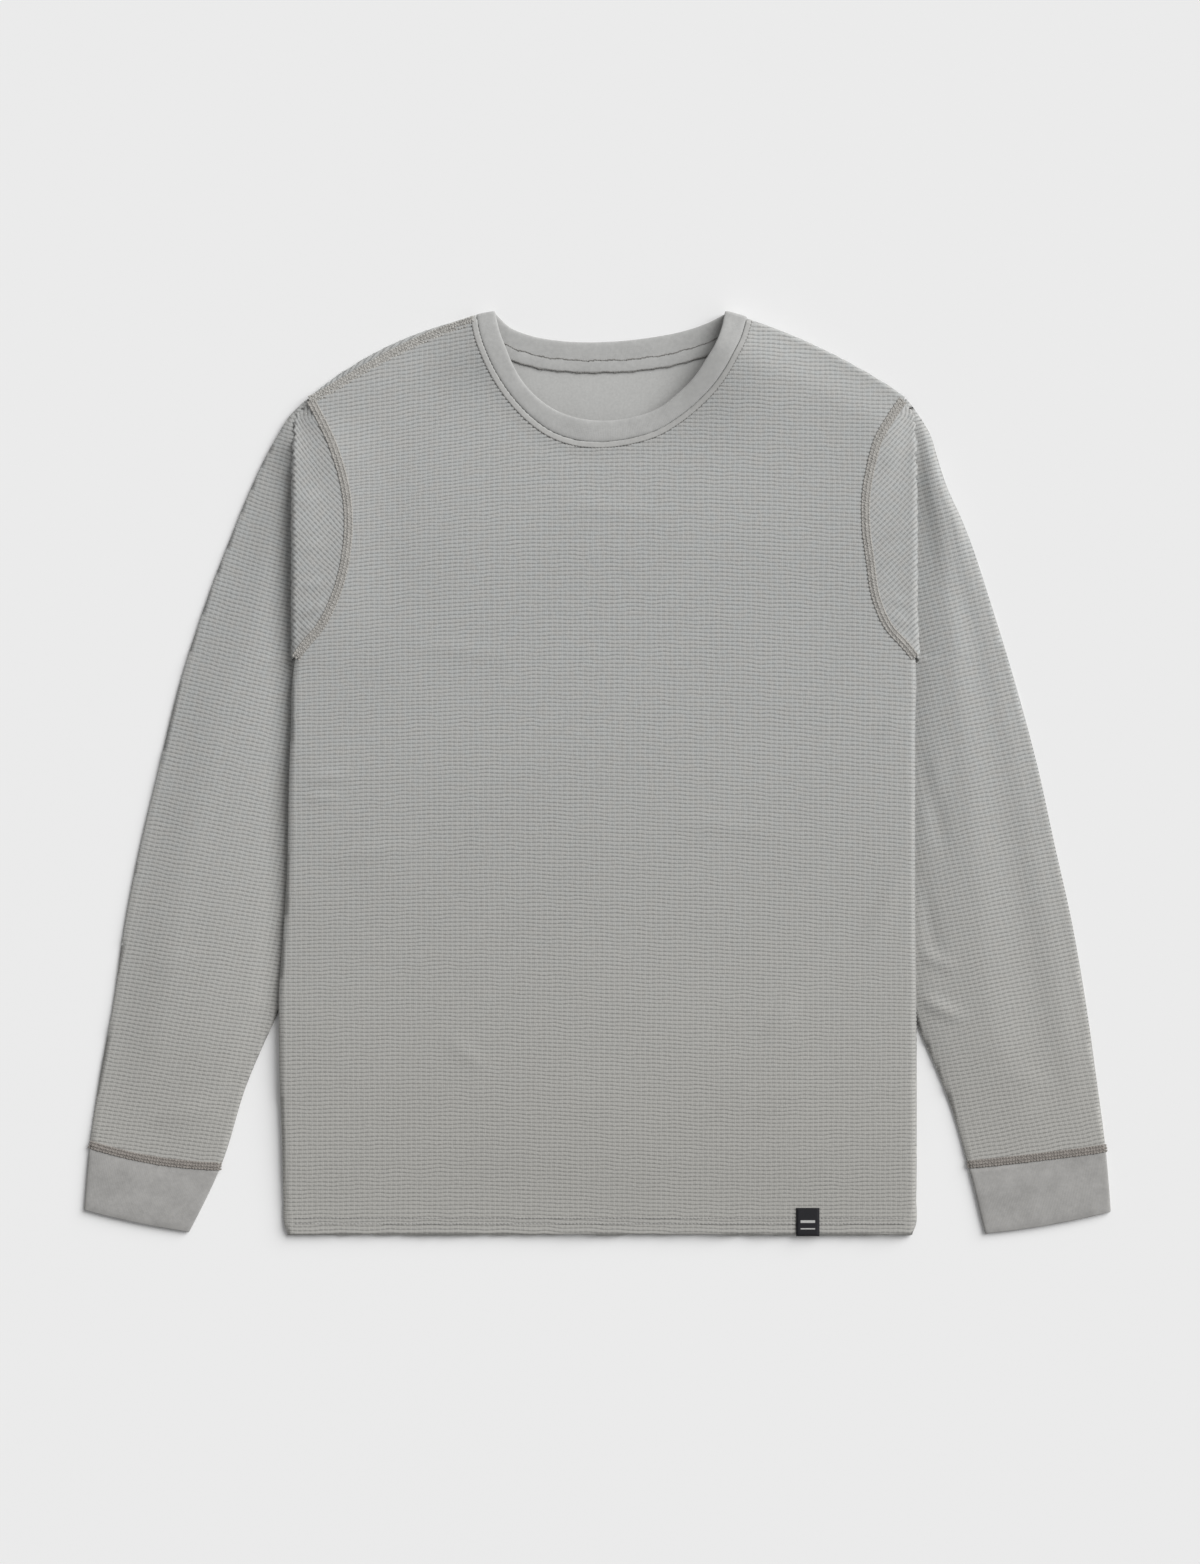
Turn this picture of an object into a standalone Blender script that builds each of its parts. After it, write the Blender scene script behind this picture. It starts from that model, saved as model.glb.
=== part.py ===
"""Thermal top lying flat: knit front and back, two sleeves turned down along a pleat at the armhole,
cuffs, neckband, neck tape and hem label.

Tables and sizes are millimetres and degrees; the objects are metres. X runs across the garment,
"up" is measured from the hem to the neck (Y in the scene), Z is height above the surface it lies on.
Left and right are as seen from in front of the laid garment.
"""

import math
from collections import namedtuple

import bmesh
import bpy
from mathutils import Vector

MM = 0.001
OBJECT_NAME = "thermal_top"

# Cloth and layers
CLOTH = 1.5  # wall of one layer of knit
GAP = 0.3  # clearance between layers and at seams
ARMHOLE_GAP = 0.5  # the same along the armholes, measured on a slant
PITCH = CLOTH + GAP  # height from one layer to the next
AIR = 0.7  # the front lies this much higher on the back
BACK_LEVEL = CLOTH / 2
FRONT_LEVEL = BACK_LEVEL + PITCH + AIR
HALF_LENGTH = 368.0  # half the length from hem to neck
CENTRE_X = 4.4

# Panel edges from the hem to the top of the armhole; steps is the number of rows to the next one
BodyRow = namedtuple("BodyRow", "up left right steps")
BODY_ROWS = (
    BodyRow(0.0, -248.4, 251.6, 1),
    BodyRow(7.0, -249.4, 254.0, 2),
    BodyRow(75.0, -251.6, 254.4, 2),
    BodyRow(155.0, -253.6, 254.8, 1),
    BodyRow(180.0, -253.2, 254.8, 4),
    BodyRow(283.0, -246.4, 254.8, 3),
    BodyRow(363.0, -244.8, 255.2, 2),
    BodyRow(411.0, -243.6, 255.4, 2),
    BodyRow(448.0, -242.2, 255.6, 1),
    BodyRow(461.0, -239.4, 253.4, 1),
    BodyRow(483.0, -222.0, 233.2, 1),
    BodyRow(507.0, -209.2, 222.0, 1),
    BodyRow(539.0, -200.4, 216.8, 1),
    BodyRow(563.0, -198.0, 214.0, 1),
    BodyRow(592.0, -199.9, 214.0, 1),
    BodyRow(614.0, -205.2, 218.0, 1),
    BodyRow(635.0, -212.8, 224.0, 1),
)
UNDERARM_UP = 461.0  # the row where the side edge becomes the armhole
COLUMNS = (0.0, 0.06, 0.13, 0.21, 0.30, 0.40, 0.55, 0.77, 1.0)  # shares of a row's length

# Neck seams, from the centre line out to the neck point, one row of the panel each. band is the
# neckband's width there
NeckRow = namedtuple("NeckRow", "left left_up right right_up band")
FRONT_NECK = (
    NeckRow(CENTRE_X, 632.8, CENTRE_X, 632.8, 16.8),
    NeckRow(-18.5, 633.6, 26.0, 635.6, 16.8),
    NeckRow(-35.8, 640.0, 47.4, 641.6, 16.6),
    NeckRow(-54.0, 653.6, 64.8, 652.8, 16.0),
    NeckRow(-74.0, 676.8, 91.6, 676.8, 15.2),
    NeckRow(-87.3, 701.0, 106.0, 699.0, 16.0),
    NeckRow(-93.2, 716.8, 113.7, 714.2, 16.8),
    NeckRow(-96.6, 733.1, 118.8, 730.6, 18.5),
)
BACK_NECK = (
    NeckRow(CENTRE_X, 635.0, CENTRE_X, 635.0, 0.0),
    NeckRow(CENTRE_X, 664.0, CENTRE_X, 664.0, 0.0),
    NeckRow(CENTRE_X, 694.4, CENTRE_X, 694.4, 18.5),
    NeckRow(-30.8, 694.8, 36.0, 696.0, 18.5),
    NeckRow(-55.0, 699.6, 66.0, 701.2, 18.0),
    NeckRow(-74.8, 707.2, 91.6, 712.4, 17.5),
    NeckRow(-87.6, 716.8, 110.5, 719.0, 16.5),
    NeckRow(-96.6, 733.1, 118.8, 730.6, 18.5),
)
BACK_SEAM_START = 2  # the row of BACK_NECK where the seam leaves the centre line
ROLL_LEAST = 2.6  # cloth turned over the shoulder edge, at the edge's two ends
ROLL_MORE = 5.0  # and what is added to it between them
ROLL_LEAN = 0.65  # under 1 moves the widest place towards the sleeve
ROLL_FILL = 0.94  # share of that width which the turned cloth reaches

# Sleeves, in polar places about the shoulder point: reach from it, and turn outward from straight down
EdgeRow = namedtuple("EdgeRow", "reach turn")
Sleeve = namedtuple(
    "Sleeve",
    "name side shoulder shoulder_up shoulder_rise front_pleat cuff_seam cuff_end outer underarm",
)
PLEAT_TURN = 15.0  # from the pleat's front fold to its hidden one
LEFT = Sleeve(
    name="left",
    side=-1,
    shoulder=-230.4,
    shoulder_up=669.0,
    shoulder_rise=9.4,
    front_pleat=3.2,
    cuff_seam=620.5,
    cuff_end=674.0,
    outer=(
        EdgeRow(3.0, 50.0),
        EdgeRow(14.0, 48.4),
        EdgeRow(38.0, 40.3),
        EdgeRow(79.0, 33.6),
        EdgeRow(113.0, 30.4),
        EdgeRow(181.0, 26.9),
        EdgeRow(248.0, 24.5),
        EdgeRow(313.0, 22.3),
        EdgeRow(378.0, 20.8),
        EdgeRow(443.0, 19.4),
        EdgeRow(506.0, 18.0),
        EdgeRow(571.0, 17.1),
        EdgeRow(621.0, 16.4),
        EdgeRow(674.0, 15.5),
    ),
    underarm=(
        EdgeRow(294.0, -11.8),
        EdgeRow(378.0, -3.8),
        EdgeRow(490.0, 2.8),
        EdgeRow(548.0, 5.1),
        EdgeRow(616.0, 6.5),
        EdgeRow(674.0, 8.2),
    ),
)
RIGHT = Sleeve(
    name="right",
    side=1,
    shoulder=245.6,
    shoulder_up=669.0,
    shoulder_rise=5.5,
    front_pleat=2.9,
    cuff_seam=619.5,
    cuff_end=671.5,
    outer=(
        EdgeRow(3.0, 42.0),
        EdgeRow(13.0, 39.0),
        EdgeRow(36.0, 34.6),
        EdgeRow(49.0, 29.9),
        EdgeRow(73.0, 25.8),
        EdgeRow(109.0, 25.1),
        EdgeRow(176.0, 22.8),
        EdgeRow(243.0, 21.2),
        EdgeRow(309.0, 19.9),
        EdgeRow(374.0, 18.6),
        EdgeRow(439.0, 17.7),
        EdgeRow(503.0, 16.7),
        EdgeRow(568.0, 15.7),
        EdgeRow(620.0, 15.0),
        EdgeRow(672.0, 14.2),
    ),
    underarm=(
        EdgeRow(311.0, -12.1),
        EdgeRow(403.0, -4.0),
        EdgeRow(500.0, 1.1),
        EdgeRow(563.0, 3.6),
        EdgeRow(615.0, 4.7),
        EdgeRow(672.0, 5.5),
    ),
)
SLEEVE_BASE = CLOTH + GAP / 2  # middle of the two layers of a sleeve on the surface
TURN_RADIUS = PITCH  # of the middle of the two layers, round a pleat's fold
FIRST_REACH = 4.0
PLEAT_STARTS = 4.0  # reach where the pleat begins to fold over
PLEAT_CLOSES = 34.0  # and where it lies flat
UNDERARM_STEP = 3.0  # the armhole ends this much above the underarm point
FADE_STARTS = 6.0  # past where the sleeve comes out from under the body
FADE = 60.0
MARGIN = 18.0  # the body stays lifted this far past a hidden edge
RAMP = 42.0  # and comes down over this length
CAP_STEPS = 1
TURN_STEPS = 3
PLEAT_STEPS = 2
ARM_STEPS = 4
PLEAT_SHARES = (0.3, 0.52, 0.76)  # rows between the first one and the armhole's first corner
LEAF_ROWS = 3
LOWER_ROWS = 8
CUFF_ROWS = 3

# Neckband, tape and label
BAND_CORNER = Vector((2.0, -1.8))  # the band's corner at its fold, inward and up from the neck point
BAND_RISE = 4.0  # its opening edge stands this much higher there
TAPE_HALF_WIDTH = 5.0
TAPE_THICK = 1.0
TAPE_ROWS = 2  # rows of the seam that the tape covers on each side of the centre
TAPE_LAST = 0.5  # and the share of the next one
LABEL_LEFT = 158.6
LABEL_WIDTH = 18.6
LABEL_HEIGHT = 21.6
LABEL_THICK = 1.0
LABEL_BEND = 1.1  # leg of the bevel where it turns over the hem
LABEL_CLEAR = 0.3  # from the hem's edge to the start of that bend

Finish = namedtuple("Finish", "color roughness")
WAFFLE_FINISH = Finish((0.36, 0.36, 0.345), 0.9)
RIB_FINISH = Finish((0.39, 0.39, 0.38), 0.85)
LABEL_FINISH = Finish((0.012, 0.012, 0.014), 0.6)


def clear_scene():
    for old in list(bpy.data.objects):
        bpy.data.objects.remove(old, do_unlink=True)


def make_material(name, finish):
    material = bpy.data.materials.new(name)
    material.use_nodes = True
    shader = material.node_tree.nodes["Principled BSDF"]
    shader.inputs["Base Color"].default_value = (*finish.color, 1.0)
    shader.inputs["Roughness"].default_value = finish.roughness
    shader.inputs["Metallic"].default_value = 0.0
    return material


def at(table, reach):
    """Turn in radians, read from a table of EdgeRow."""
    if reach <= table[0].reach:
        return math.radians(table[0].turn)
    for low, high in zip(table, table[1:]):
        if reach <= high.reach:
            share = (reach - low.reach) / (high.reach - low.reach)
            return math.radians(low.turn + share * (high.turn - low.turn))
    return math.radians(table[-1].turn)


def smooth(share):
    share = min(1.0, max(0.0, share))
    return share * share * (3.0 - 2.0 * share)


def place(x, up, height):
    return Vector((x, up - HALF_LENGTH, height)) * MM


# Pleat and lift


def fold_at(reach):
    """(angle, straight length) of the pleat's middle leaf at this reach."""
    angle = math.pi * smooth((reach - PLEAT_STARTS) / (PLEAT_CLOSES - PLEAT_STARTS))
    leaf = reach * math.radians(PLEAT_TURN)
    return angle, max(0.0, leaf - 2.0 * TURN_RADIUS)


def fold_height(reach):
    """How far the pleat lifts the sleeve cap above the rest of the sleeve."""
    angle, straight = fold_at(reach)
    return 2.0 * TURN_RADIUS * (1.0 - math.cos(angle)) + straight * math.sin(angle)


def hidden_fold(sleeve):
    return math.radians(sleeve.front_pleat - PLEAT_TURN)


def underarm_reach(sleeve):
    outward = sleeve.side * (side_edge(sleeve, UNDERARM_UP) - sleeve.shoulder)
    return math.hypot(outward, sleeve.shoulder_up - UNDERARM_UP)


def leaf_end(sleeve, turn):
    """Reach where the pleat's middle leaf ends: it narrows from the underarm point to its hidden fold."""
    share = (math.radians(sleeve.front_pleat) - turn) / math.radians(PLEAT_TURN)
    share = min(1.0, max(0.0, share))
    near = underarm_reach(sleeve)
    return near + share * (sleeve.underarm[0].reach - near)


def leaf_edge(sleeve, reach):
    """Turn of the middle leaf's free edge between the underarm point and the end of the hidden fold."""
    near = underarm_reach(sleeve)
    share = (reach - near) / (sleeve.underarm[0].reach - near)
    return math.radians(sleeve.front_pleat - PLEAT_TURN * min(1.0, max(0.0, share)))


def cover(distance):
    """1 over a hidden layer and just past its edge, then down to 0; distance is positive over the layer."""
    return smooth((distance + MARGIN + RAMP) / RAMP)


def lift(x, up):
    """Height by which the sleeves folded underneath raise the body."""
    height = 0.0
    for sleeve in (LEFT, RIGHT):
        outward = sleeve.side * (x - sleeve.shoulder)
        down = sleeve.shoulder_up - up
        reach = math.hypot(outward, down)
        turn = math.atan2(outward, down)
        hidden = hidden_fold(sleeve)
        comes_out = sleeve.underarm[2].reach + FADE_STARTS
        on_sleeve = cover((turn - at(sleeve.underarm, reach)) * reach)
        on_sleeve *= 1.0 - smooth((reach - comes_out) / FADE)
        on_leaf = cover((turn - hidden) * reach) * cover(leaf_end(sleeve, turn) - reach)
        height += fold_height(reach) / 2.0 * (on_sleeve + on_leaf)
    return height


# Outlines of the body


def side_edge(sleeve, up):
    """X of the panel's edge on this sleeve's side."""
    edges = [(row.up, row.left if sleeve.side < 0 else row.right) for row in BODY_ROWS]
    for (low, x_low), (high, x_high) in zip(edges, edges[1:]):
        if up <= high:
            return x_low + (up - low) / (high - low) * (x_high - x_low)
    return edges[-1][1]


def body_levels():
    levels = []
    for low, high in zip(BODY_ROWS, BODY_ROWS[1:]):
        for step in range(low.steps):
            levels.append(low.up + (high.up - low.up) * step / low.steps)
    return levels + [BODY_ROWS[-1].up]


def neck_points(sleeve, neck):
    if sleeve.side < 0:
        return [Vector((row.left, row.left_up)) for row in neck]
    return [Vector((row.right, row.right_up)) for row in neck]


def shoulder_normal(sleeve, neck):
    """Unit vector square to the shoulder line, away from the body."""
    along = neck_points(sleeve, neck)[-1] - Vector((sleeve.shoulder, sleeve.shoulder_up))
    normal = Vector((-along.y, along.x)).normalized()
    return normal if normal.y > 0 else -normal


def roll_width(share):
    return ROLL_LEAST + ROLL_MORE * math.sin(math.pi * share**ROLL_LEAN)


def half_rows(sleeve, neck, level, inset):
    """Rows of one half of a panel, from its outer edge to the centre line or the neck seam. The top row
    stops short of the shoulder line by inset, a function of the share of the row's length."""
    levels = body_levels()
    neck_line = neck_points(sleeve, neck)
    shoulder = Vector((sleeve.shoulder, sleeve.shoulder_up))
    top_edge = Vector((side_edge(sleeve, levels[-1]), levels[-1]))
    ends = [(Vector((side_edge(sleeve, up), up)), Vector((CENTRE_X, up)), 0.0) for up in levels[:-1]]
    for step, inner in enumerate(neck_line):
        share = step / (len(neck_line) - 1)
        ends.append((top_edge.lerp(shoulder, share), inner, share))
    outline = []
    for outer, inner, share in ends:
        row = [outer.lerp(inner, column) for column in COLUMNS]
        for column, point in zip(COLUMNS, row):
            point.y += sleeve.shoulder_rise * 4.0 * column * (1.0 - column) * share**2
        outline.append(row)
    for column, point, below in zip(COLUMNS, outline[-1], outline[-2]):
        point += (below - point).normalized() * inset(column)
    return [[place(*point, level + lift(*point)) for point in row] for row in outline]


def rolled_rows(sleeve, neck, level, other_level):
    """Half of a panel whose top turns over the shoulder edge and ends on the other side of the garment."""
    radius = abs(other_level - level) / 2.0
    rows = half_rows(sleeve, neck, level, lambda column: radius)
    normal = shoulder_normal(sleeve, neck)
    edge = rows[-1]
    rise = math.copysign(radius, other_level - level)
    for step in range(1, TURN_STEPS + 1):
        angle = math.pi * step / TURN_STEPS
        move = Vector((*(normal * radius * math.sin(angle)), rise * (1.0 - math.cos(angle)))) * MM
        rows.append([point + move for point in edge])
    last = []
    for column, point in zip(COLUMNS, edge):
        back = roll_width(column) * ROLL_FILL - radius - GAP
        last.append(point + Vector((*(-normal * back), 2.0 * rise)) * MM)
    rows.append(last)
    return rows


# Meshes


def sheet_mesh(patches, closed=False):
    """A mesh of quads between neighbouring rows of each patch. None leaves a hole."""
    mesh = bmesh.new()
    for rows in patches:
        made = [[mesh.verts.new(point) if point else None for point in row] for row in rows]
        for low, high in zip(made, made[1:]):
            count = len(low)
            for index in range(count if closed else count - 1):
                after = (index + 1) % count
                corners = (low[index], low[after], high[after], high[index])
                if all(corners):
                    mesh.faces.new(corners)
    bmesh.ops.remove_doubles(mesh, verts=mesh.verts, dist=0.01 * MM)
    loose = [vert for vert in mesh.verts if not vert.link_faces]
    bmesh.ops.delete(mesh, geom=loose, context="VERTS")
    bmesh.ops.recalc_face_normals(mesh, faces=mesh.faces)
    return mesh


def add_cloth(name, patches, material, collection, wall=CLOTH, closed=False):
    """An object whose open sheet is given its wall by Solidify, half to each side."""
    sheet = sheet_mesh(patches, closed)
    data = bpy.data.meshes.new(name)
    sheet.to_mesh(data)
    sheet.free()
    data.materials.append(material)
    data.shade_smooth()
    cloth = bpy.data.objects.new(name, data)
    collection.objects.link(cloth)
    solid = cloth.modifiers.new("Wall", "SOLIDIFY")
    solid.thickness = wall * MM
    solid.offset = 0.0
    return cloth


def add_front(collection, material):
    patches = [
        half_rows(LEFT, FRONT_NECK, FRONT_LEVEL, roll_width),
        rolled_rows(RIGHT, FRONT_NECK, FRONT_LEVEL, BACK_LEVEL),
    ]
    return add_cloth("front_panel", patches, material, collection)


def add_back(collection, material):
    patches = [
        rolled_rows(LEFT, BACK_NECK, BACK_LEVEL, FRONT_LEVEL),
        half_rows(RIGHT, BACK_NECK, BACK_LEVEL, roll_width),
    ]
    return add_cloth("back_panel", patches, material, collection)


# Sleeves


def armhole_points(sleeve):
    edge = [
        Vector((side_edge(sleeve, row.up), row.up)) for row in BODY_ROWS if row.up >= UNDERARM_UP
    ]
    return edge + [Vector((sleeve.shoulder, sleeve.shoulder_up))]


def armhole_turn(sleeve, reach):
    """Turn of the armhole seam at this reach."""
    shoulder = Vector((sleeve.shoulder, sleeve.shoulder_up))
    points = armhole_points(sleeve)[::-1]
    for near, far in zip(points, points[1:]):
        near_reach = (near - shoulder).length
        far_reach = (far - shoulder).length
        if reach <= far_reach:
            point = near.lerp(far, (reach - near_reach) / (far_reach - near_reach))
            return math.atan2(sleeve.side * (point.x - shoulder.x), shoulder.y - point.y)
    return math.radians(sleeve.front_pleat)


def leaf_steps(count, start, stop):
    return [start + (stop - start) * step / count for step in range(1, count + 1)]


def centre_path(sleeve, reach):
    """(across, height, heading) down the middle of the sleeve's two layers, from inner to outer edge."""
    fold, straight = fold_at(reach)
    radius = TURN_RADIUS
    front = reach * math.radians(sleeve.front_pleat)
    hidden = reach * hidden_fold(sleeve)
    outer = reach * at(sleeve.outer, reach) - PITCH / 2.0
    folded = CAP_STEPS + 1 + TURN_STEPS
    if reach >= sleeve.underarm[0].reach:
        start = reach * at(sleeve.underarm, reach) + PITCH / 2.0
        path = [(start, SLEEVE_BASE, 0.0)] * (folded + PLEAT_STEPS + TURN_STEPS)
    elif reach >= underarm_reach(sleeve):
        start = reach * leaf_edge(sleeve, reach) - PITCH / 2.0
        height = SLEEVE_BASE + 2.0 * radius
        path = [(start, height, -math.pi)] * folded
        path += [(s, height, -math.pi) for s in leaf_steps(PLEAT_STEPS, start, hidden + radius)]
    else:
        advance = 2.0 * radius * math.sin(fold) + straight * math.cos(fold)
        cap_end = (front + hidden - advance) / 2.0
        top = SLEEVE_BASE + fold_height(reach)
        start = reach * armhole_turn(sleeve, reach) + ARMHOLE_GAP
        path = [(start, top, 0.0)]
        path += [(s, top, 0.0) for s in leaf_steps(CAP_STEPS, start, cap_end)]
        for angle in leaf_steps(TURN_STEPS, 0.0, fold):
            across = cap_end + radius * math.sin(angle)
            path.append((across, top - radius * (1.0 - math.cos(angle)), -angle))
        across, height, _ = path[-1]
        for length in leaf_steps(PLEAT_STEPS, 0.0, straight):
            path.append(
                (across + length * math.cos(fold), height - length * math.sin(fold), -fold)
            )
    if reach < sleeve.underarm[0].reach:
        across, height, _ = path[-1]
        for angle in leaf_steps(TURN_STEPS, fold, 0.0):
            path.append(
                (
                    across + radius * (math.sin(fold) - math.sin(angle)),
                    height - radius * (math.cos(angle) - math.cos(fold)),
                    -angle,
                )
            )
    path += [(s, SLEEVE_BASE, 0.0) for s in leaf_steps(ARM_STEPS, path[-1][0], outer)]
    return path


def sleeve_ring(sleeve, reach):
    """Points all round the sleeve at this reach: the front layer, the outer edge, the back layer and,
    below the armhole, the inner edge."""
    path = centre_path(sleeve, reach)
    half = PITCH / 2.0
    front = [(s - half * math.sin(h), z + half * math.cos(h)) for s, z, h in path]
    back = [(s + half * math.sin(h), z - half * math.cos(h)) for s, z, h in path]
    outer_edge = (path[-1][0] + half, path[-1][1])
    start, height, heading = path[0]
    inner_edge = (start - half * math.cos(heading), height - half * math.sin(heading))
    ring = front + [outer_edge] + back[::-1]
    points = []
    for across, height in ring + [inner_edge]:
        turn = across / reach
        x = sleeve.shoulder + sleeve.side * reach * math.sin(turn)
        points.append(place(x, sleeve.shoulder_up - reach * math.cos(turn), height))
    if reach < underarm_reach(sleeve):
        points[-1] = None
    return points


def sleeve_reaches(sleeve):
    shoulder = Vector((sleeve.shoulder, sleeve.shoulder_up))
    armhole = [(point - shoulder).length for point in armhole_points(sleeve)[::-1]]
    near = [FIRST_REACH] + [armhole[1] * share for share in PLEAT_SHARES]
    underarm = underarm_reach(sleeve)
    leaf = sleeve.underarm[0].reach
    leaf_rows = leaf_steps(LEAF_ROWS, underarm, leaf)
    lower = leaf_steps(LOWER_ROWS, leaf, sleeve.cuff_seam - GAP / 2.0)
    return near + armhole[1:-1] + [underarm - UNDERARM_STEP, underarm] + leaf_rows + lower


def add_sleeve(sleeve, collection, material):
    rows = [sleeve_ring(sleeve, reach) for reach in sleeve_reaches(sleeve)]
    return add_cloth("sleeve_" + sleeve.name, [rows], material, collection, closed=True)


def add_cuff(sleeve, collection, material):
    first = sleeve.cuff_seam + GAP / 2.0
    reaches = [first] + leaf_steps(CUFF_ROWS, first, sleeve.cuff_end)
    rows = [sleeve_ring(sleeve, reach) for reach in reaches]
    return add_cloth("cuff_" + sleeve.name, [rows], material, collection, closed=True)


# Neckband, tape and label


def edge_normals(points):
    """Unit vectors square to a line of points, at each point, to its left."""
    normals = []
    for index in range(len(points)):
        before = points[max(0, index - 1)]
        after = points[min(len(points) - 1, index + 1)]
        along = (after - before).normalized()
        normals.append(Vector((-along.y, along.x)))
    return normals


def seam_line(neck, first=0):
    """A neck seam from its left end, down to the centre and up to its right end."""
    left = neck_points(LEFT, neck)[first:]
    right = neck_points(RIGHT, neck)[first:]
    return left[:0:-1] + right


def band_row(outer, inner, level):
    middle = outer.lerp(inner, 0.5)
    return [place(point.x, point.y, level) for point in (outer, middle, inner)]


def band_fold(outer, inner, side):
    """Rows that carry the band over its fold at a neck point, from the front level to the back one."""
    radius = (FRONT_LEVEL - BACK_LEVEL) / 2.0
    across = (inner - outer).normalized() * side
    away = Vector((across.y, -across.x)) * radius
    rows = []
    for step in range(1, TURN_STEPS):
        angle = math.pi * step / TURN_STEPS
        move = away * math.sin(angle)
        level = BACK_LEVEL + radius * (1.0 + math.cos(angle))
        rows.append(band_row(outer + move, inner + move, level))
    return rows


def band_stations(neck, first):
    """(seam side, opening side) pairs along a neck seam, left to right, with the ends on the folds."""
    seam = seam_line(neck, first)
    widths = [row.band for row in neck[first:]]
    widths = widths[:0:-1] + widths
    stations = []
    for point, normal, width in zip(seam, edge_normals(seam), widths):
        stations.append((point + normal * GAP, point + normal * width))
    for index, inward in ((0, 1.0), (-1, -1.0)):
        corner = seam[index] + Vector((inward * BAND_CORNER.x, BAND_CORNER.y))
        opening = corner + Vector((inward * (widths[index] - BAND_CORNER.x), BAND_RISE))
        stations[index] = (corner, opening)
    return stations


def add_neckband(collection, material):
    front = band_stations(FRONT_NECK, 0)
    back = band_stations(BACK_NECK, BACK_SEAM_START)
    rows = [band_row(outer, inner, FRONT_LEVEL) for outer, inner in front]
    rows += band_fold(*front[-1], side=1)
    rows += [band_row(outer, inner, BACK_LEVEL) for outer, inner in back[::-1]]
    rows += band_fold(*front[0], side=-1)[::-1]
    rows.append(rows[0])
    return add_cloth("neckband", [rows], material, collection)


def add_tape(collection, material):
    """A strip over the seam of band and back, inside the neck."""
    seam = seam_line(BACK_NECK, BACK_SEAM_START)
    normals = edge_normals(seam)
    centre = len(seam) // 2
    first = centre - TAPE_ROWS
    last = centre + TAPE_ROWS
    line = [seam[first].lerp(seam[first - 1], TAPE_LAST), *seam[first : last + 1]]
    line.append(seam[last].lerp(seam[last + 1], TAPE_LAST))
    sides = [normals[first - 1], *normals[first : last + 1], normals[last + 1]]
    level = BACK_LEVEL + (CLOTH + TAPE_THICK) / 2.0 + GAP
    rows = []
    for point, normal in zip(line, sides):
        side = normal * TAPE_HALF_WIDTH
        rows.append(band_row(point - side, point + side, level))
    return add_cloth("neck_tape", [rows], material, collection, wall=TAPE_THICK)


def add_label(collection, material):
    """A woven label on the front hem that turns down over the hem's edge."""
    level = FRONT_LEVEL + (CLOTH + LABEL_THICK) / 2.0 + GAP
    front = -(LABEL_CLEAR + LABEL_BEND)
    rows = []
    for x in (LABEL_LEFT, LABEL_LEFT + LABEL_WIDTH / 2.0, LABEL_LEFT + LABEL_WIDTH):
        rows.append(
            [
                place(x, LABEL_HEIGHT, level),
                place(x, LABEL_HEIGHT / 2.0, level),
                place(x, -LABEL_CLEAR, level),
                place(x, front, level - LABEL_BEND),
                place(x, front, FRONT_LEVEL - CLOTH / 2.0),
            ]
        )
    return add_cloth("hem_label", [rows], material, collection, wall=LABEL_THICK)


def main():
    clear_scene()
    collection = bpy.data.collections.new(OBJECT_NAME)
    bpy.context.scene.collection.children.link(collection)
    waffle = make_material("waffle_knit", WAFFLE_FINISH)
    rib = make_material("smooth_rib", RIB_FINISH)
    add_front(collection, waffle)
    add_back(collection, waffle)
    for sleeve in (LEFT, RIGHT):
        add_sleeve(sleeve, collection, waffle)
        add_cuff(sleeve, collection, rib)
    add_neckband(collection, rib)
    add_tape(collection, rib)
    add_label(collection, make_material("woven_label", LABEL_FINISH))


main()
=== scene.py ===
import math
from collections import namedtuple
from typing import NamedTuple

import bpy
import numpy as np
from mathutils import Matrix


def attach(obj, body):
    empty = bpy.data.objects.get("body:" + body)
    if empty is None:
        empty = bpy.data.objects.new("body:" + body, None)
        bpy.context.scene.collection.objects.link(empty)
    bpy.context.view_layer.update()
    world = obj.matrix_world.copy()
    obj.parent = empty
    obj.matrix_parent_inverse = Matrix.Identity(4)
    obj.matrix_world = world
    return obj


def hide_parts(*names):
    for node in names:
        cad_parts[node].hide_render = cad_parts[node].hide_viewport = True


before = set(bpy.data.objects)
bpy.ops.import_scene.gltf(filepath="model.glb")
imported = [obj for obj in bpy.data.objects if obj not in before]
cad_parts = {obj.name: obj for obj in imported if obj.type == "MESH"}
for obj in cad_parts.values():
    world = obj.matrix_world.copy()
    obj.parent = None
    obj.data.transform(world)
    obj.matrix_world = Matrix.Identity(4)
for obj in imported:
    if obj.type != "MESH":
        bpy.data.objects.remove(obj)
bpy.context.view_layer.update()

bl_info = {
    "name": "Thermal top laid flat",
    "version": (1, 0, 0),
    "blender": (4, 5, 0),
    "location": "3D View > Sidebar > Thermal top",
    "description": "Builds the cloth, seams and stitching of a waffle-knit thermal top",
    "category": "Object",
}

# Tables and sizes are millimetres and degrees; meshes are metres. x runs across the garment, "up"
# is measured from the hem to the neck, height from the surface it lies on. Left and right are as
# seen from in front of the laid garment. A pair such as DOME_STARTS is a stretch: where a form
# starts to grow or shrink, and over what length it does. On a sleeve, reach is the distance from
# its shoulder point, turn the angle outward from straight down, and across the length of the arc
# from straight down.
MM = 0.001
TINY = 1e-12
FAR = 99.0
STILL_FLAT = 0.1  # cloth counts as flat up to this rise, or this turn
LINE_STEP = 4.0

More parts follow.
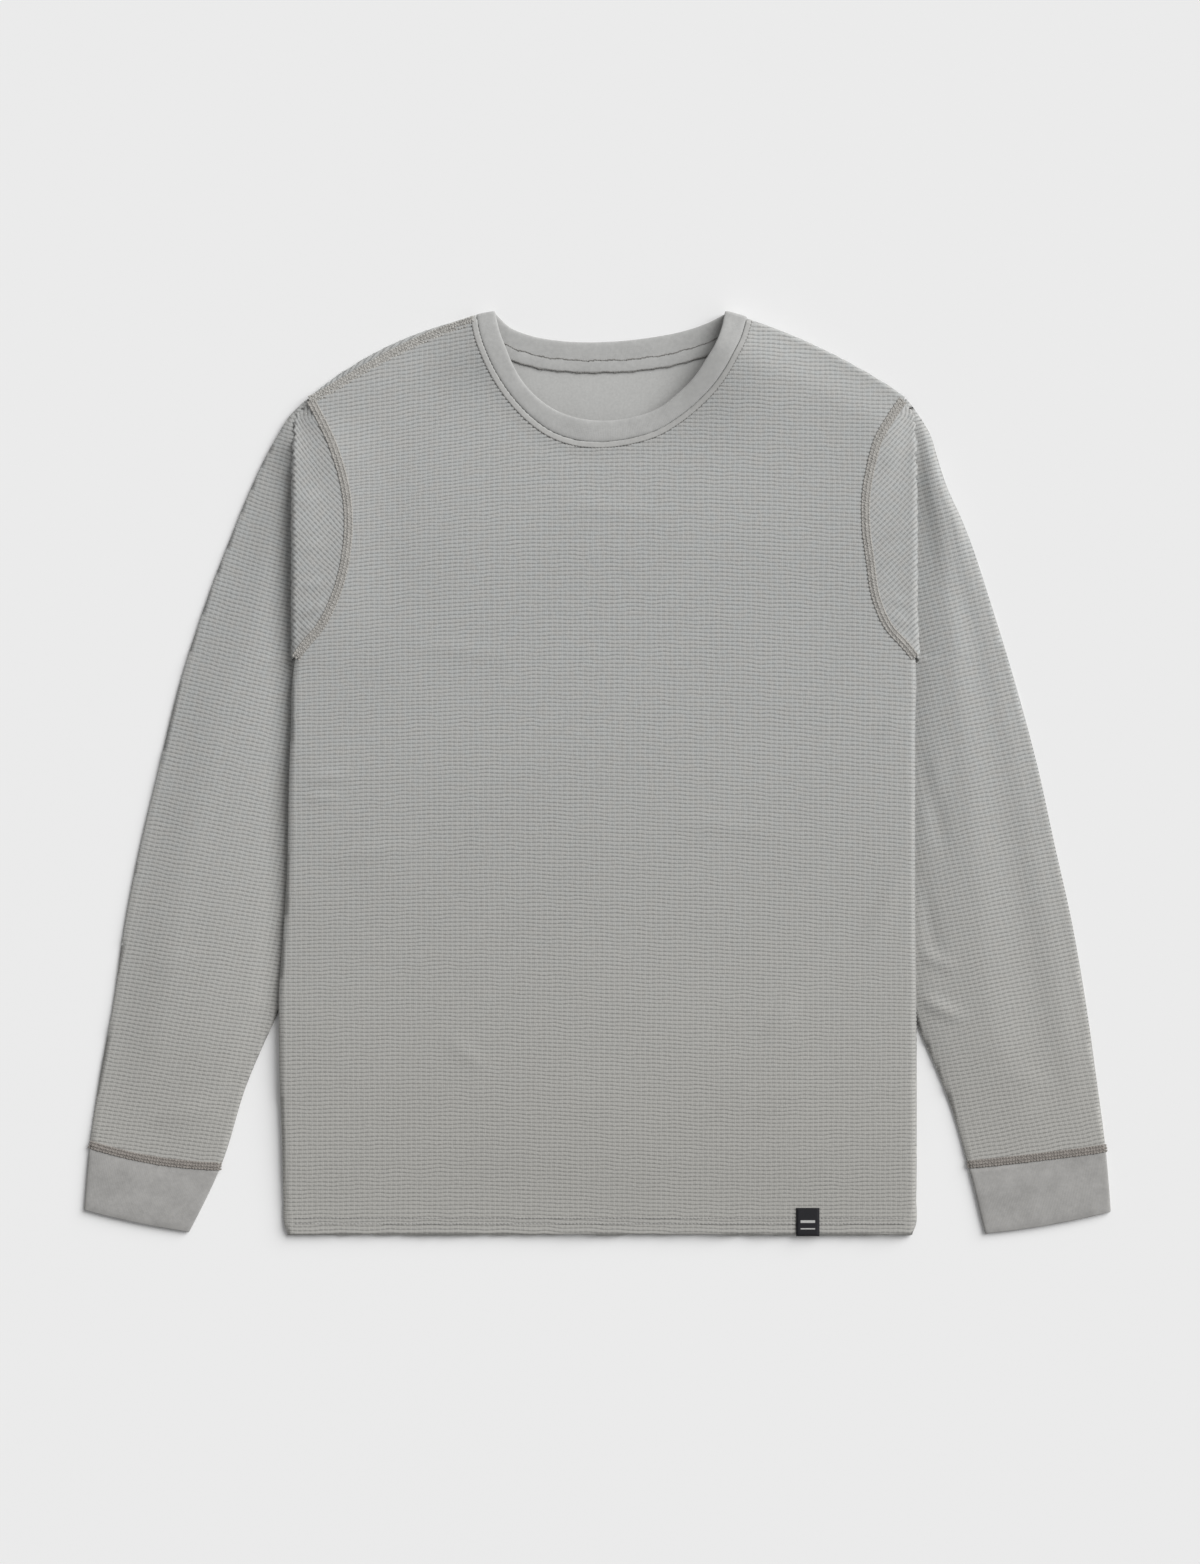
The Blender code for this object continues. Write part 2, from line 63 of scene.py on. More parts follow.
# ---------------------------------------------------------------- layers, as in the solid model
PITCH = 1.8  # height from one layer of cloth to the next
HALF_PITCH = PITCH / 2.0
BACK_LEVEL = 0.75
FRONT_LEVEL = 3.25
SIDE_RADIUS = (FRONT_LEVEL - BACK_LEVEL) / 2.0  # where front and back meet round the side edges
SLEEVE_BASE = 1.65  # middle of a sleeve's two layers
HALF_LENGTH = 368.0
CENTRE_X = 4.4
UNDERARM_UP = 461.0
SHOULDER_UP = 669.0

# ---------------------------------------------------------------- how the body lies
HALF_CHEST = 250.0
DOME = 3.0  # how much higher the front's middle is than its sides
DOME_STARTS, DOME_ENDS = (0.0, 120.0), (550.0, 150.0)
LOFT = 2.8  # how far the springy front stands off beyond its bare thickness
HEM_LOFT = 0.45  # share of it left at the hem
LOFT_GROWS, LOFT_AT_SHOULDER = (2.0, 70.0), (0.0, 36.0)
SIDES_MEET = (453.0, 12.0)  # front and back part here, just below the underarm
NECK_RISES = ((106, 713, 55, 12.0), (-86, 712, 34, 4.5))  # (x, up, width, height)
CREASE_SIDE, CREASE_HEM, CREASE_NECK = (0.0, 24.0), (2.0, 30.0), (640.0, 60.0)
CREASE_TAIL = 0.15  # a fold fades out over this share of its length, and beyond its ends
NECK_STARTS = 600.0
NECK_STEP, NECK_STEP_FADES = 0.5, (4.0, 10.0)  # the front is thicker beside the neck seam
SEAM_DIP, SEAM_DIP_WIDTH = 0.25, 1.6  # cloth drawn down into a seam
HEM_TURN = 15.0  # cloth turned up inside the hem
HEM_RADIUS = 0.6
HEM_CORNER = 1.2, 5.0  # how far its turn and its end stay in from the side edges
HEM_CORNER_UP, SIDES_START = -2.0, 0.5
SHOULDER_OVERLAP = 0.1  # the turn runs on past the shoulder edge's ends by this share of it
ROLL_LEAST = 2.6  # cloth turned over the shoulder edge, at the edge's two ends
ROLL_MORE = 5.0
ROLL_LEAN = 0.65
ROLL_END = 0.94  # the cloth ends under the seam, just short of it
ROLL_GAP = 0.3

# ---------------------------------------------------------------- how the sleeves lie
PLEAT_TURN = 15.0
PLEAT_LEAST = 0.16  # share of the pleat's radius at the shoulder point
PLEAT_GROWS = (16.0, 94.0)
COVER_STARTS, COVER_GROWS = -60.0, 42.0  # how the body rises beside a sleeve folded under it
COVER_ENDS = (6.0, 60.0)
LEAF_HOLDS, ARM_HOLDS = (-30.0, 190.0), (440.0, 225.0)  # how far down the front is held up
HOLD_GROWS, HOLD_ENDS = 120.0, (540.0, 220.0)
CAP_TOP, CAP_BOTTOM, CAP_LOW = (10.0, 44.0), (440.0, 70.0), (470.0, 90.0)  # the cap's extra height
CAP_LOW_SHARE = 0.55
CAP_WIDTH = (2.0, 80.0)
FOLD_INSET = 2.0  # the fold line stays this far in from the sleeve's outer edge
LEAST_LEAF = 4.0
SLEEVE_INSET = 0.6  # the cloth's middle turns round the sleeve's edges this far in
CAP_INSET, ARM_INSET = 0.3, 0.6
SHOULDER_REACH = 2.5  # the cloth starts this far from the shoulder point
UNDERARM_NEAR, UNDERARM_SEAMED = 2.0, 4.0
LEAF_POINTS, ARM_POINTS, END_POINTS, OUTER_POINTS = 16, 80, 24, 160
CUFF_GAP = 0.2
SWELL = 0.24  # share of the width that shows by which the upper layer stands off
SWELL_ROUND = 0.45
LEAN_RISE = 6.5  # a leaning sleeve's rise from its fold to its outer edge, near the shoulder
LEAN_SLOPE = 0.4
LEAN_ENDS = (90.0, 130.0)
LEAN_KEEPS_EDGE = 0.85
DIP_SHOWS = 60.0
DIP_FALLS, DIP_RECOVERS, DIP_BACK = (0.4, 0.3), (0.72, 0.2), 0.7
CUFF_FLATTENS = (-112.0, 110.0)
CREASE_FOLD, CREASE_OUTER, CREASE_CUFF, CREASE_SEAM = 12.0, 14.0, (-36.0, 30.0), (3.0, 8.0)
MERGE_ENDS, MERGE_WIDTH = (34.0, 46.0), 9.0  # the sleeve leaves its fold at the cap's height
CAP_OVER = 0.1  # the cap's edge lies this far over the front
CAP_PILE, CAP_PILE_LEAST = 0.85, 6.0

# ---------------------------------------------------------------- outlines: (x, up)
# The body's two edges from the hem to the shoulder points
LEFT_EDGE = (
    (-247, 0), (-249, 5), (-250.4, 30), (-251.6, 75), (-253.4, 130), (-253.6, 155),
    (-253.8, 190), (-250.2, 240), (-247.4, 283), (-245.4, 363), (-243.6, 411), (-242.4, 444),
    (-239.4, 461), (-231.6, 472), (-222, 483), (-209.2, 507), (-200.4, 539), (-198, 563),
    (-199.9, 592), (-205.2, 614), (-212.8, 635), (-221.2, 652), (-230.4, 669),
)
RIGHT_EDGE = (
    (250.4, 0), (253, 5), (254.2, 30), (254.4, 75), (254.2, 155), (252.8, 283),
    (252.6, 363), (252.8, 411), (253.4, 446), (252, 461), (244.4, 471), (233.2, 483),
    (222, 507), (216.8, 539), (213.6, 565), (214, 592), (218, 614), (224, 635),
    (232.6, 650), (245.6, 669),
)
# Neck seams and opening edges, left to right
FRONT_SEAM = (
    (-96.6, 733.1), (-93.2, 716.8), (-89.2, 705.6), (-83.1, 692), (-74, 676.8),
    (-64.8, 664.8), (-54, 653.6), (-35.8, 640.4), (-18.5, 634.2), (4.4, 632.4),
    (26, 635.2), (47.4, 641.8), (64.8, 652.4), (80.4, 665.2), (91.6, 676.8),
    (100.8, 689.6), (107.6, 701.9), (113.7, 714.2), (118.8, 730.6),
)
BACK_SEAM = (
    (-96.6, 733.1), (-87.6, 717.6), (-74.8, 707.2), (-55, 699.4), (-30.8, 695.2), (4.4, 694),
    (36, 695.8), (66, 701), (91.6, 709.4), (110.5, 719), (118.8, 730.6),
)
FRONT_OPENING = (
    (-81.6, 736), (-77.2, 718.4), (-72.9, 707.4), (-67.9, 695.2), (-59.9, 681.3),
    (-47.6, 667.8), (-33.8, 658.2), (-14, 651.2), (5.4, 649.4), (28, 652.2), (50, 660.3),
    (62.2, 669.6), (77, 684.2), (86.6, 698.4), (92.9, 708.6), (98.3, 721.6), (101.4, 735.4),
)
BACK_OPENING = (
    (-81.6, 736), (-70.8, 725.6), (-52.4, 718.2), (-30.8, 714.4), (-8, 713.2), (12.4, 713.8),
    (47.6, 717.8), (70, 722.4), (88, 728.6), (101.4, 735.4),
)


class Sleeve(NamedTuple):
    """One sleeve and how it is folded down."""

    name: str
    side: int  # -1 at the left, 1 at the right
    shoulder: float  # the shoulder point's x
    shoulder_rise: float  # how far the shoulder edge bows out beyond a straight line
    front_pleat: float  # turn of the pleat's front fold
    fold_offset: float  # how far out the fold runs straight down
    cap_puff: float  # extra height of the cap beside the armhole
    fold_slope: float  # width over which the sleeve rises from its fold
    steep: float  # 0 where that rise is eased in, 1 where it starts at once
    outer_slope: float  # width over which it rises from its outer edge
    ridge: float  # depth of the hollow beyond its ridge
    puff: float  # most that the upper layer stands off
    leans_up: float  # 1 where it rises towards its outer edge near the shoulder
    cuff_seam: float  # reach of the cuff seam
    seam_sag: float  # how much further its middle reaches than its ends
    seam_tilt: float  # how much further its outer end reaches than its inner one
    cuff_end: float
    grain: float  # lean of its courses where it is cut
    outer: tuple  # its outer edge: (reach, turn)
    underarm: tuple  # its inner edge
    leans: tuple  # lean of its courses: (x, up, degrees)
    creases: tuple  # (x0, up0, x1, up1, width, height)


LEFT = Sleeve(
    name="left", side=-1, shoulder=-230.4, shoulder_rise=9.4, front_pleat=3.2, fold_offset=12.6,
    cap_puff=4.6, fold_slope=26.0, steep=0.0, outer_slope=46.0, ridge=0.0, puff=3.8, leans_up=0.0,
    cuff_seam=620.5, seam_sag=1.6, seam_tilt=3.6, cuff_end=674.0, grain=12.0,
    outer=(
        (3, 50.0), (14, 48.4), (38, 40.3), (79, 33.6), (113, 30.4), (181, 26.9), (248, 24.5),
        (313, 22.3), (378, 20.8), (443, 19.4), (506, 18.0), (571, 17.1), (621, 16.4), (674, 15.5),
    ),
    underarm=((294, -11.8), (378, -3.8), (490, 2.8), (548, 5.1), (616, 6.5), (674, 8.2)),
    leans=(
        (-260, 595, 19.5), (-278, 539, 17.8), (-294, 443, 14.2), (-318, 347, 12.0),
        (-326, 267, 8.8), (-342, 187, 9.0), (-350, 107, 7.0), (-158, 561, 15.5),
    ),
    creases=(
        (-352, 88, -308, 106, 9, 1.0), (-300, 520, -330, 300, 22, 0.5),
        (-352, 210, -322, 226, 8, 0.5), (-240, 494, -212, 505, 3, 1.1),
        (-236, 483, -217, 487, 2.5, 0.8), (-238, 516, -219, 521, 3, 0.8),
        (-240, 545, -216, 552, 4, 0.6), (-238, 580, -222, 592, 5, 0.7),
    ),
)
RIGHT = Sleeve(
    name="right", side=1, shoulder=245.6, shoulder_rise=5.5, front_pleat=2.9, fold_offset=8.6,
    cap_puff=0.4, fold_slope=18.0, steep=1.0, outer_slope=34.0, ridge=2.6, puff=3.6, leans_up=1.0,
    cuff_seam=618.1, seam_sag=-1.8, seam_tilt=6.0, cuff_end=671.5, grain=-12.5,
    outer=(
        (3, 42.0), (13, 39.0), (36, 34.6), (49, 29.9), (73, 25.8), (109, 25.1), (176, 22.8),
        (243, 21.2), (309, 19.9), (374, 18.6), (439, 17.7), (503, 16.7), (568, 15.7),
        (620, 15.0), (672, 14.2),
    ),
    underarm=((311, -12.1), (403, -4.0), (500, 1.1), (563, 3.6), (615, 4.7), (672, 5.5)),
    leans=(
        (266, 595, -20.0), (280, 539, -17.0), (298, 443, -14.0), (314, 347, -12.0),
        (322, 267, -11.3), (338, 187, -11.5), (354, 107, -10.0), (173, 561, -12.0),
    ),
    creases=(
        (264, 650, 284, 525, 9, 2.9), (256, 190, 292, 172, 6, 1.7), (258, 226, 284, 212, 6, 1.3),
        (258, 384, 278, 304, 7, -1.3), (258, 286, 274, 206, 7, -1.2), (262, 330, 276, 392, 8, 0.8),
        (300, 520, 326, 300, 22, 0.5), (330, 130, 360, 118, 8, 0.5), (226, 552, 250, 571, 4, 0.8),
        (223, 532, 252, 554, 4, 0.8), (232, 508, 250, 503, 3, 0.6), (233, 494, 250, 486, 3, 0.8),
        (226, 612, 246, 632, 6, 1.0),
    ),
)
SLEEVES = (LEFT, RIGHT)

# ---------------------------------------------------------------- knit
# One waffle is wale wide and course high. The others are the heights of its relief: on the ridge at
# a wale and between two wales, and in the valley at a wale and between two wales
Waffle = namedtuple("Waffle", "wale course corner saddle rib pit")
WAFFLE = Waffle(wale=4.16, course=3.2, corner=0.95, saddle=0.7, rib=-0.5, pit=-0.9)
EDGE_RELIEF = 0.3  # share of the relief left at a cut edge
UPRIGHT_RELIEF = 0.3  # and where the cloth stands upright, round a fold
BLOCK_COURSES = 2  # courses to one face of the smooth inner side
KNIT_MARGIN = (4.0, 26.0)  # knit beyond the outline, which takes up the lean of its courses
STEEPEST_LEAN = 60.0
EDGE_STEP = 3.0
SLOPE_PROBE = 0.05  # distance over which the cloth's slope is read
LEAN_REACH = 70.0
RIPPLES = 14
RIPPLE_LENGTHS = (9.0, 60.0)
RIPPLE = 0.1
RIPPLE_UNIT = 30.0

# Lean of the courses, positive where they fall to the right: (x, up, degrees)
FRONT_LEANS = (
    (2, 539, 0.0), (2, 347, 2.3), (2, 107, 2.6), (-174, 347, -2.2), (202, 347, 5.0),
    (-214, 67, -0.8), (218, 67, -0.4), (-142, 651, -9.4), (146, 667, 1.6), (160, 540, 3.0),
    (-150, 540, -4.0),
)
BACK_LEANS = ((-150, 600, -3.0), (150, 600, 3.0), (0, 300, 0.0), (0, 60, 0.5))
# Soft ridges and troughs in the laid front: (x0, up0, x1, up1, width, height)
FRONT_CREASES = (
    (-238, 362, -196, 368, 5, 0.8), (-236, 348, -206, 350, 4, 0.64),
    (-214, 300, -150, 312, 7, 0.56), (252, 428, 226, 396, 6, 0.8), (250, 300, 214, 232, 8, 0.8),
    (160, 186, 132, 160, 7, 0.8), (176, 130, 128, 96, 9, 0.64), (-120, 160, -90, 132, 7, 0.56),
    (-40, 585, 60, 572, 8, 0.48), (-150, 470, -60, 462, 7, 0.48), (60, 330, 150, 322, 8, 0.48),
)

# ---------------------------------------------------------------- bands, stitches, label
BAND_HALF = 1.0  # half the thickness of the folded neckband
BAND_BACK_LEVEL = 1.25
BAND_STANDS = 0.35  # height of the neckband's middle over that of the front
BAND_STEP = 1.2
BAND_TURN_STEPS = 10
BAND_AROUND = 12
BAND_COURSES = 36.0
BAND_DRAWN = 0.8  # ribs lie further apart here than on the cuffs
TAPE_HALF = 5.2
TAPE_RISE = 1.3  # of the tape over the middle of the back
TAPE_ENDS = (-82.0, 104.0)
CUFF_WALL = 1.3
CUFF_ROWS = 14
CUFF_ACROSS = 45
CUFF_TURN = 0.8  # the cuff's end is turned in over this length
CUFF_LOFT = 0.15
CUFF_ROUND = 0.6
CUFF_PUFF, CUFF_PUFF_SHAPE = 1.0, 0.6
CUFF_PUFF_STARTS, CUFF_PUFF_ENDS = (0.0, 16.0), (-4.9, 14.0)
TURN_STEPS = 5
RIB_PITCH = 1.15
FLATLOCK_HALF = 3.6
SEAM_STEP = 2.0
ARMHOLE_LIFT, SHOULDER_LIFT = 0.2, 0.15
ARMHOLE_RUNS_ON = 0.8  # share of a step by which its seam runs on past the underarm
CUFF_SEAM_HALF, CUFF_SEAM_LIFT = 3.1, 1.15
CUFF_SEAM_INNER, CUFF_SEAM_OUTER = -0.2, -0.7  # its two ends, beside the sleeve's edges
CUFF_SEAM_POINTS = 60
CUFF_SEAM_DROP, CUFF_SEAM_DROPS = 1.2, (0.0, 3.0)  # it bends down at its ends
LEAST_HEIGHT = 0.05

# Stitches, in metres and radians, by the names of the stitch tree's inputs
CROSS_THREAD = {
    "Width": 0.0009, "Height": 0.0004, "Turn": math.radians(62.0), "Zigzag": 1.0,
    "Unevenness": 0.3, "Seed": 3,
}
CROSS_LIFT, CROSS_REACH = 0.38, 1.7
NEEDLE_THREAD = {
    "Spacing": 0.0024, "Length": 0.0029, "Width": 0.0016, "Height": 0.0006,
    "Turn": math.radians(14.0), "Zigzag": 1.0, "Unevenness": 0.25, "Seed": 5,
}
NEEDLE_ROWS = ((0.12, 0.3), (0.5, 0.5), (0.88, 0.3))  # (share of the seam's width, lift)
NECK_THREAD = {"Spacing": 0.0026, "Length": 0.0022, "Width": 0.0008, "Height": 0.0004, "Seed": 11}
NECK_RIDGE = (-0.3, -4.6)  # its edges beside the neck seam; the stitches run down the second
NECK_LIFT, RIDGE_LIFT = 0.42, 0.35
HEM_THREAD = {"Spacing": 0.0029, "Length": 0.0027, "Width": 0.0007, "Height": 0.0006, "Seed": 13}
HEM_ROWS, HEM_ENDS, HEM_LIFT = (9.0, 13.4), (-240.0, 246.0), 0.4
TAPE_THREAD = {
    "Spacing": 0.0019, "Length": 0.0024, "Width": 0.0011, "Height": 0.0005,
    "Turn": math.radians(14.0), "Zigzag": 1.0, "Unevenness": 0.35, "Seed": 17,
}
# the first row is stitching; the second, towards the hem, is painted shadow
TAPE_ROWS, TAPE_LIFT = (4.7, -4.8), 1.7
TAPE_WANDER = ((0.3, 2.3, 1.0), (0.25, 5.1, 2.0))  # (how far, over what length, phase)

# The hem label: its left edge, width, height over the hem, how far it stands over the front, where
# that is read, half its thickness, the radius of its turn round the hem, and its points across and
# down
LABEL_LEFT, LABEL_WIDTH, LABEL_HIGH = 158.6, 18.6, 21.6
LABEL_STANDS, LABEL_READ_UP, LABEL_HALF = 0.75, 12.0, 0.28
LABEL_TURN, LABEL_TURN_STARTS = 1.5, 0.6
LABEL_ACROSS, LABEL_DOWN = 9, 12

# ---------------------------------------------------------------- stage, in metres
FLOOR_HALF = 4.0
FLOOR_LEVEL = -0.0003
KEY_FROM = (1.2, 1.0, 1.05)  # where the soft light comes from
CAMERA_AT = (0.002, -0.0064, 2.6)  # it looks straight down
LENS = 74.8
SENSOR = 36.0
CLIP = (0.1, 20.0)


# ================================================================ numbers and lines


def ease(share):
    share = np.clip(share, 0.0, 1.0)
    return share * share * (3.0 - 2.0 * share)


def rise(value, start, length):
    """Eased from 0 at start to 1 at the end of a stretch."""
    return ease((value - start) / length)


def fall(value, start, length):
    return 1.0 - rise(value, start, length)


def round_edge(gap, radius):
    """0 to radius: how far a rounded edge has turned at a distance from it."""
    share = np.clip(gap / radius, 0.0, 1.0)
    return radius * np.sqrt(np.clip(1.0 - (1.0 - share) ** 2, 0.0, 1.0))


def lengths(points):
    """Distance along a line of each of its points."""
    return np.concatenate([[0.0], np.cumsum(np.linalg.norm(np.diff(points, axis=0), axis=1))])


def smooth_line(points, step):
    """A smooth line through points, with a new point about every step millimetres."""
    points = np.array(points, float)
    length = lengths(points)
    slope = np.gradient(points, length, axis=0)
    along = np.linspace(0.0, length[-1], max(2, round(length[-1] / step) + 1))
    low = np.clip(np.searchsorted(length, along, "right") - 1, 0, len(length) - 2)
    span = (length[low + 1] - length[low])[:, None]
    t = (along - length[low])[:, None] / span
    return (
        points[low] * (1 + 2 * t) * (1 - t) ** 2
        + points[low + 1] * t**2 * (3 - 2 * t)
        + slope[low] * span * t * (1 - t) ** 2
        - slope[low + 1] * span * t**2 * (1 - t)
    )


def resample(points, step=SEAM_STEP, count=None):
    """The same line with points a step apart, or with so many points."""
    length = lengths(points)
    along = np.linspace(0.0, length[-1], count or max(2, round(length[-1] / step) + 1))
    return np.stack([np.interp(along, length, values) for values in points.T], axis=1)


def sideways(points):
    """Unit vectors square to a flat line, to its left."""
    along = np.gradient(points[:, :2], axis=0)
    along /= np.linalg.norm(along, axis=1, keepdims=True)
    return np.stack([-along[:, 1], along[:, 0]], axis=1)


def raised(points, height):
    """Points in space over flat ones."""
    return np.column_stack([points, np.broadcast_to(height, len(points))])


def rows_between(start, end, share):
    """Rows of points from one line to another, one point for each share of the way."""
    return start[:, None] * (1 - share)[:, None] + end[:, None] * share[:, None]


def inside(points, outline):
    """Which of the points lie within a closed outline."""
    x, y = points.T
    found = np.zeros(len(points), bool)
    for (x0, y0), (x1, y1) in zip(outline, np.roll(outline, -1, axis=0)):
        if y0 != y1:
            crosses = (y0 > y) != (y1 > y)
            found ^= crosses & (x < (x1 - x0) * (y - y0) / (y1 - y0) + x0)
    return found


def nearest(points, line, closed=False):
    """(distance, nearest place) from each point to a line."""
    best = np.full(len(points), np.inf)
    place = points.copy()
    for start, end in zip(line, np.roll(line, -1, axis=0) if closed else line[1:]):
        along = end - start
        share = np.clip(((points - start) @ along) / max(along @ along, TINY), 0.0, 1.0)
        spot = start + share[:, None] * along
        gap = np.linalg.norm(points - spot, axis=1)
        closer = gap < best
        best[closer] = gap[closer]
        place[closer] = spot[closer]
    return best, place


def smooth_turns(rows, degree=3.0):
    """Reach and turn, in radians, of a smooth line through (reach, turn); a degree weighs 3 mm."""
    line = smooth_line([(reach, turn * degree) for reach, turn in rows], LINE_STEP)
    return line[:, 0], np.radians(line[:, 1] / degree)


OUTER_TURNS = {sleeve.name: smooth_turns(sleeve.outer) for sleeve in SLEEVES}
UNDERARM_TURNS = {sleeve.name: smooth_turns(sleeve.underarm) for sleeve in SLEEVES}
BODY_EDGES = {
    "left": smooth_line(LEFT_EDGE, LINE_STEP),
    "right": smooth_line(RIGHT_EDGE, LINE_STEP),
}


def outer_turn(sleeve, reach):
    return np.interp(reach, *OUTER_TURNS[sleeve.name])


def underarm_turn(sleeve, reach):
    return np.interp(reach, *UNDERARM_TURNS[sleeve.name])


def edge_x(sleeve, up):
    line = BODY_EDGES[sleeve.name]
    return np.interp(up, line[:, 1], line[:, 0])


def polar(sleeve, x, up):
    """(reach, turn) of a place."""
    outward, down = sleeve.side * (x - sleeve.shoulder), SHOULDER_UP - up
    return np.hypot(outward, down), np.arctan2(outward, down)


def from_polar(sleeve, reach, turn):
    x = sleeve.shoulder + sleeve.side * reach * np.sin(turn)
    return x, SHOULDER_UP - reach * np.cos(turn)


def armhole(sleeve):
    """Points down the armhole from the shoulder point to the underarm."""
    line = BODY_EDGES[sleeve.name]
    return line[line[:, 1] >= UNDERARM_UP][::-1]


ARMHOLES = {sleeve.name: polar(sleeve, *armhole(sleeve).T) for sleeve in SLEEVES}


def creased(creases, x, up):
    """Height of the soft folds in a layer of cloth."""
    height = np.zeros(x.shape)
    for x0, up0, x1, up1, width, high in creases:
        run, climb = x1 - x0, up1 - up0
        share = ((x - x0) * run + (up - up0) * climb) / (run * run + climb * climb)
        near = np.clip(share, 0.0, 1.0)
        gap = np.hypot(x - x0 - near * run, up - up0 - near * climb)
        inner = CREASE_TAIL + (1.0 - 2.0 * CREASE_TAIL) * share
        fade = np.sin(np.pi * np.clip(inner, 0.0, 1.0)) ** 2
        height = height + high * fade * np.exp(-((gap / width) ** 2))
    return height


# ================================================================ the pleat


def pleat(reach):
    """(straight length, turn radius) of the hidden middle leaf."""
    radius = PITCH * (PLEAT_LEAST + (1.0 - PLEAT_LEAST) * rise(reach, *PLEAT_GROWS))
    return np.maximum(0.0, reach * math.radians(PLEAT_TURN) - 2.0 * radius), radius


def pleat_height(reach):
    return 4.0 * pleat(reach)[1]


def pleat_marks(sleeve, reach):
    """(straight length, radius, across where the cap ends, across where the lower leaf starts)."""
    straight, radius = pleat(reach)
    middle = reach * math.radians(sleeve.front_pleat) + reach * hidden_turn(sleeve)
    return straight, radius, (middle + straight) / 2.0, (middle - straight) / 2.0


def hidden_turn(sleeve):
    return math.radians(sleeve.front_pleat - PLEAT_TURN)


def leaf_reaches(sleeve):
    """Reaches of the two ends of the leaf's edge: the underarm and where the sleeve comes out."""
    outward = sleeve.side * (float(edge_x(sleeve, UNDERARM_UP)) - sleeve.shoulder)
    return math.hypot(outward, SHOULDER_UP - UNDERARM_UP), sleeve.underarm[0][0]


def lift(x, up):
    """How far the sleeves folded underneath raise the back."""

    def covered(distance):
        return rise(distance, COVER_STARTS, COVER_GROWS)

    height = np.zeros(x.shape)
    for sleeve in SLEEVES:
        reach, turn = polar(sleeve, x, up)
        near, far = leaf_reaches(sleeve)
        share = (math.radians(sleeve.front_pleat) - turn) / math.radians(PLEAT_TURN)
        leaf_end = near + np.clip(share, 0.0, 1.0) * (far - near)
        on_sleeve = covered((turn - underarm_turn(sleeve, reach)) * reach)
        on_sleeve = on_sleeve * fall(reach - sleeve.underarm[2][0], *COVER_ENDS)
        on_leaf = covered((turn - hidden_turn(sleeve)) * reach) * covered(leaf_end - reach)
        height = height + pleat_height(reach) / 2.0 * (on_sleeve + on_leaf)
    return height


# ================================================================ the body


def shoulder_line(sleeve):
    """(start, run, unit normal) of the straight line from the shoulder point to the neck."""
    neck = FRONT_SEAM[0] if sleeve.side < 0 else FRONT_SEAM[-1]
    start = np.array([sleeve.shoulder, SHOULDER_UP])
    along = np.array(neck) - start
    normal = np.array([-along[1], along[0]]) / np.linalg.norm(along)
    return start, along, normal if normal[1] > 0 else -normal


def shoulder_bow(sleeve, share):
    return sleeve.shoulder_rise * 4.0 * share * (1.0 - share)


def over_shoulder(sleeve, x, up):
    """(share of the shoulder's length, distance past its edge) of a flat place."""
    start, along, normal = shoulder_line(sleeve)
    share = ((x - start[0]) * along[0] + (up - start[1]) * along[1]) / (along @ along)
    past = (x - start[0]) * normal[0] + (up - start[1]) * normal[1]
    return share, past - shoulder_bow(sleeve, np.clip(share, 0.0, 1.0))


def shoulder_points(sleeve, past, step=LINE_STEP):
    """Points along the shoulder edge, from the sleeve to the neck, moved out by past(share)."""
    start, along, normal = shoulder_line(sleeve)
    share = np.linspace(0.0, 1.0, round(np.linalg.norm(along) / step) + 1)
    out = shoulder_bow(sleeve, share) + past(share)
    return start + share[:, None] * along + out[:, None] * normal


def roll_width(share):
    return ROLL_LEAST + ROLL_MORE * np.sin(np.pi * share**ROLL_LEAN)


def turned(beyond, radius):
    """Turns cloth back round an edge: (how far it has moved on, height) beyond where it turns."""
    angle = np.clip(beyond / radius, 0.0, math.pi)
    moved = radius * np.sin(angle) - np.maximum(beyond - math.pi * radius, 0.0)
    return np.where(beyond > 0.0, moved, 0.0), radius * (1.0 - np.cos(angle))


def rolled(sleeve, x, up, radius=SIDE_RADIUS):
    """Turns flat cloth over the shoulder edge: (x, up, height towards the other side)."""
    share, past = over_shoulder(sleeve, x, up)
    normal = shoulder_line(sleeve)[2]
    at_edge = (share > -SHOULDER_OVERLAP) & (share < 1.0 + SHOULDER_OVERLAP)
    beyond = np.where(at_edge, past + radius, -1.0)
    moved, height = turned(beyond, radius)
    shift = moved - np.maximum(beyond, 0.0)
    return x + shift * normal[0], up + shift * normal[1], height


def hem_turned(up):
    """Turns flat cloth up at the hem: (up, height towards the inside)."""
    beyond = HEM_RADIUS - up
    moved, height = turned(beyond, HEM_RADIUS)
    return np.where(beyond > 0.0, HEM_RADIUS - moved, up), height


def fold_rise(sleeve, x, up):
    """Extra height beside the fold line that the sleeve comes out under, and down the side edge."""
    inward = sleeve.side * (edge_x(sleeve, np.minimum(up, UNDERARM_UP)) - x)
    along = rise(SHOULDER_UP - up, *CAP_TOP) * rise(up, *CAP_BOTTOM)
    along = along * (CAP_LOW_SHARE + (1.0 - CAP_LOW_SHARE) * rise(up, *CAP_LOW))
    return sleeve.cap_puff * fall(inward, *CAP_WIDTH) * along


def loft(x, up):
    """How far the front stands off beyond its bare thickness, away from its hem and shoulders."""
    below = -np.maximum(over_shoulder(LEFT, x, up)[1], over_shoulder(RIGHT, x, up)[1])
    grown = HEM_LOFT + (1.0 - HEM_LOFT) * rise(up, *LOFT_GROWS)
    return LOFT * grown * rise(below, *LOFT_AT_SHOULDER)


def side_gap(x, up):
    return np.minimum(x - edge_x(LEFT, up), edge_x(RIGHT, up) - x)


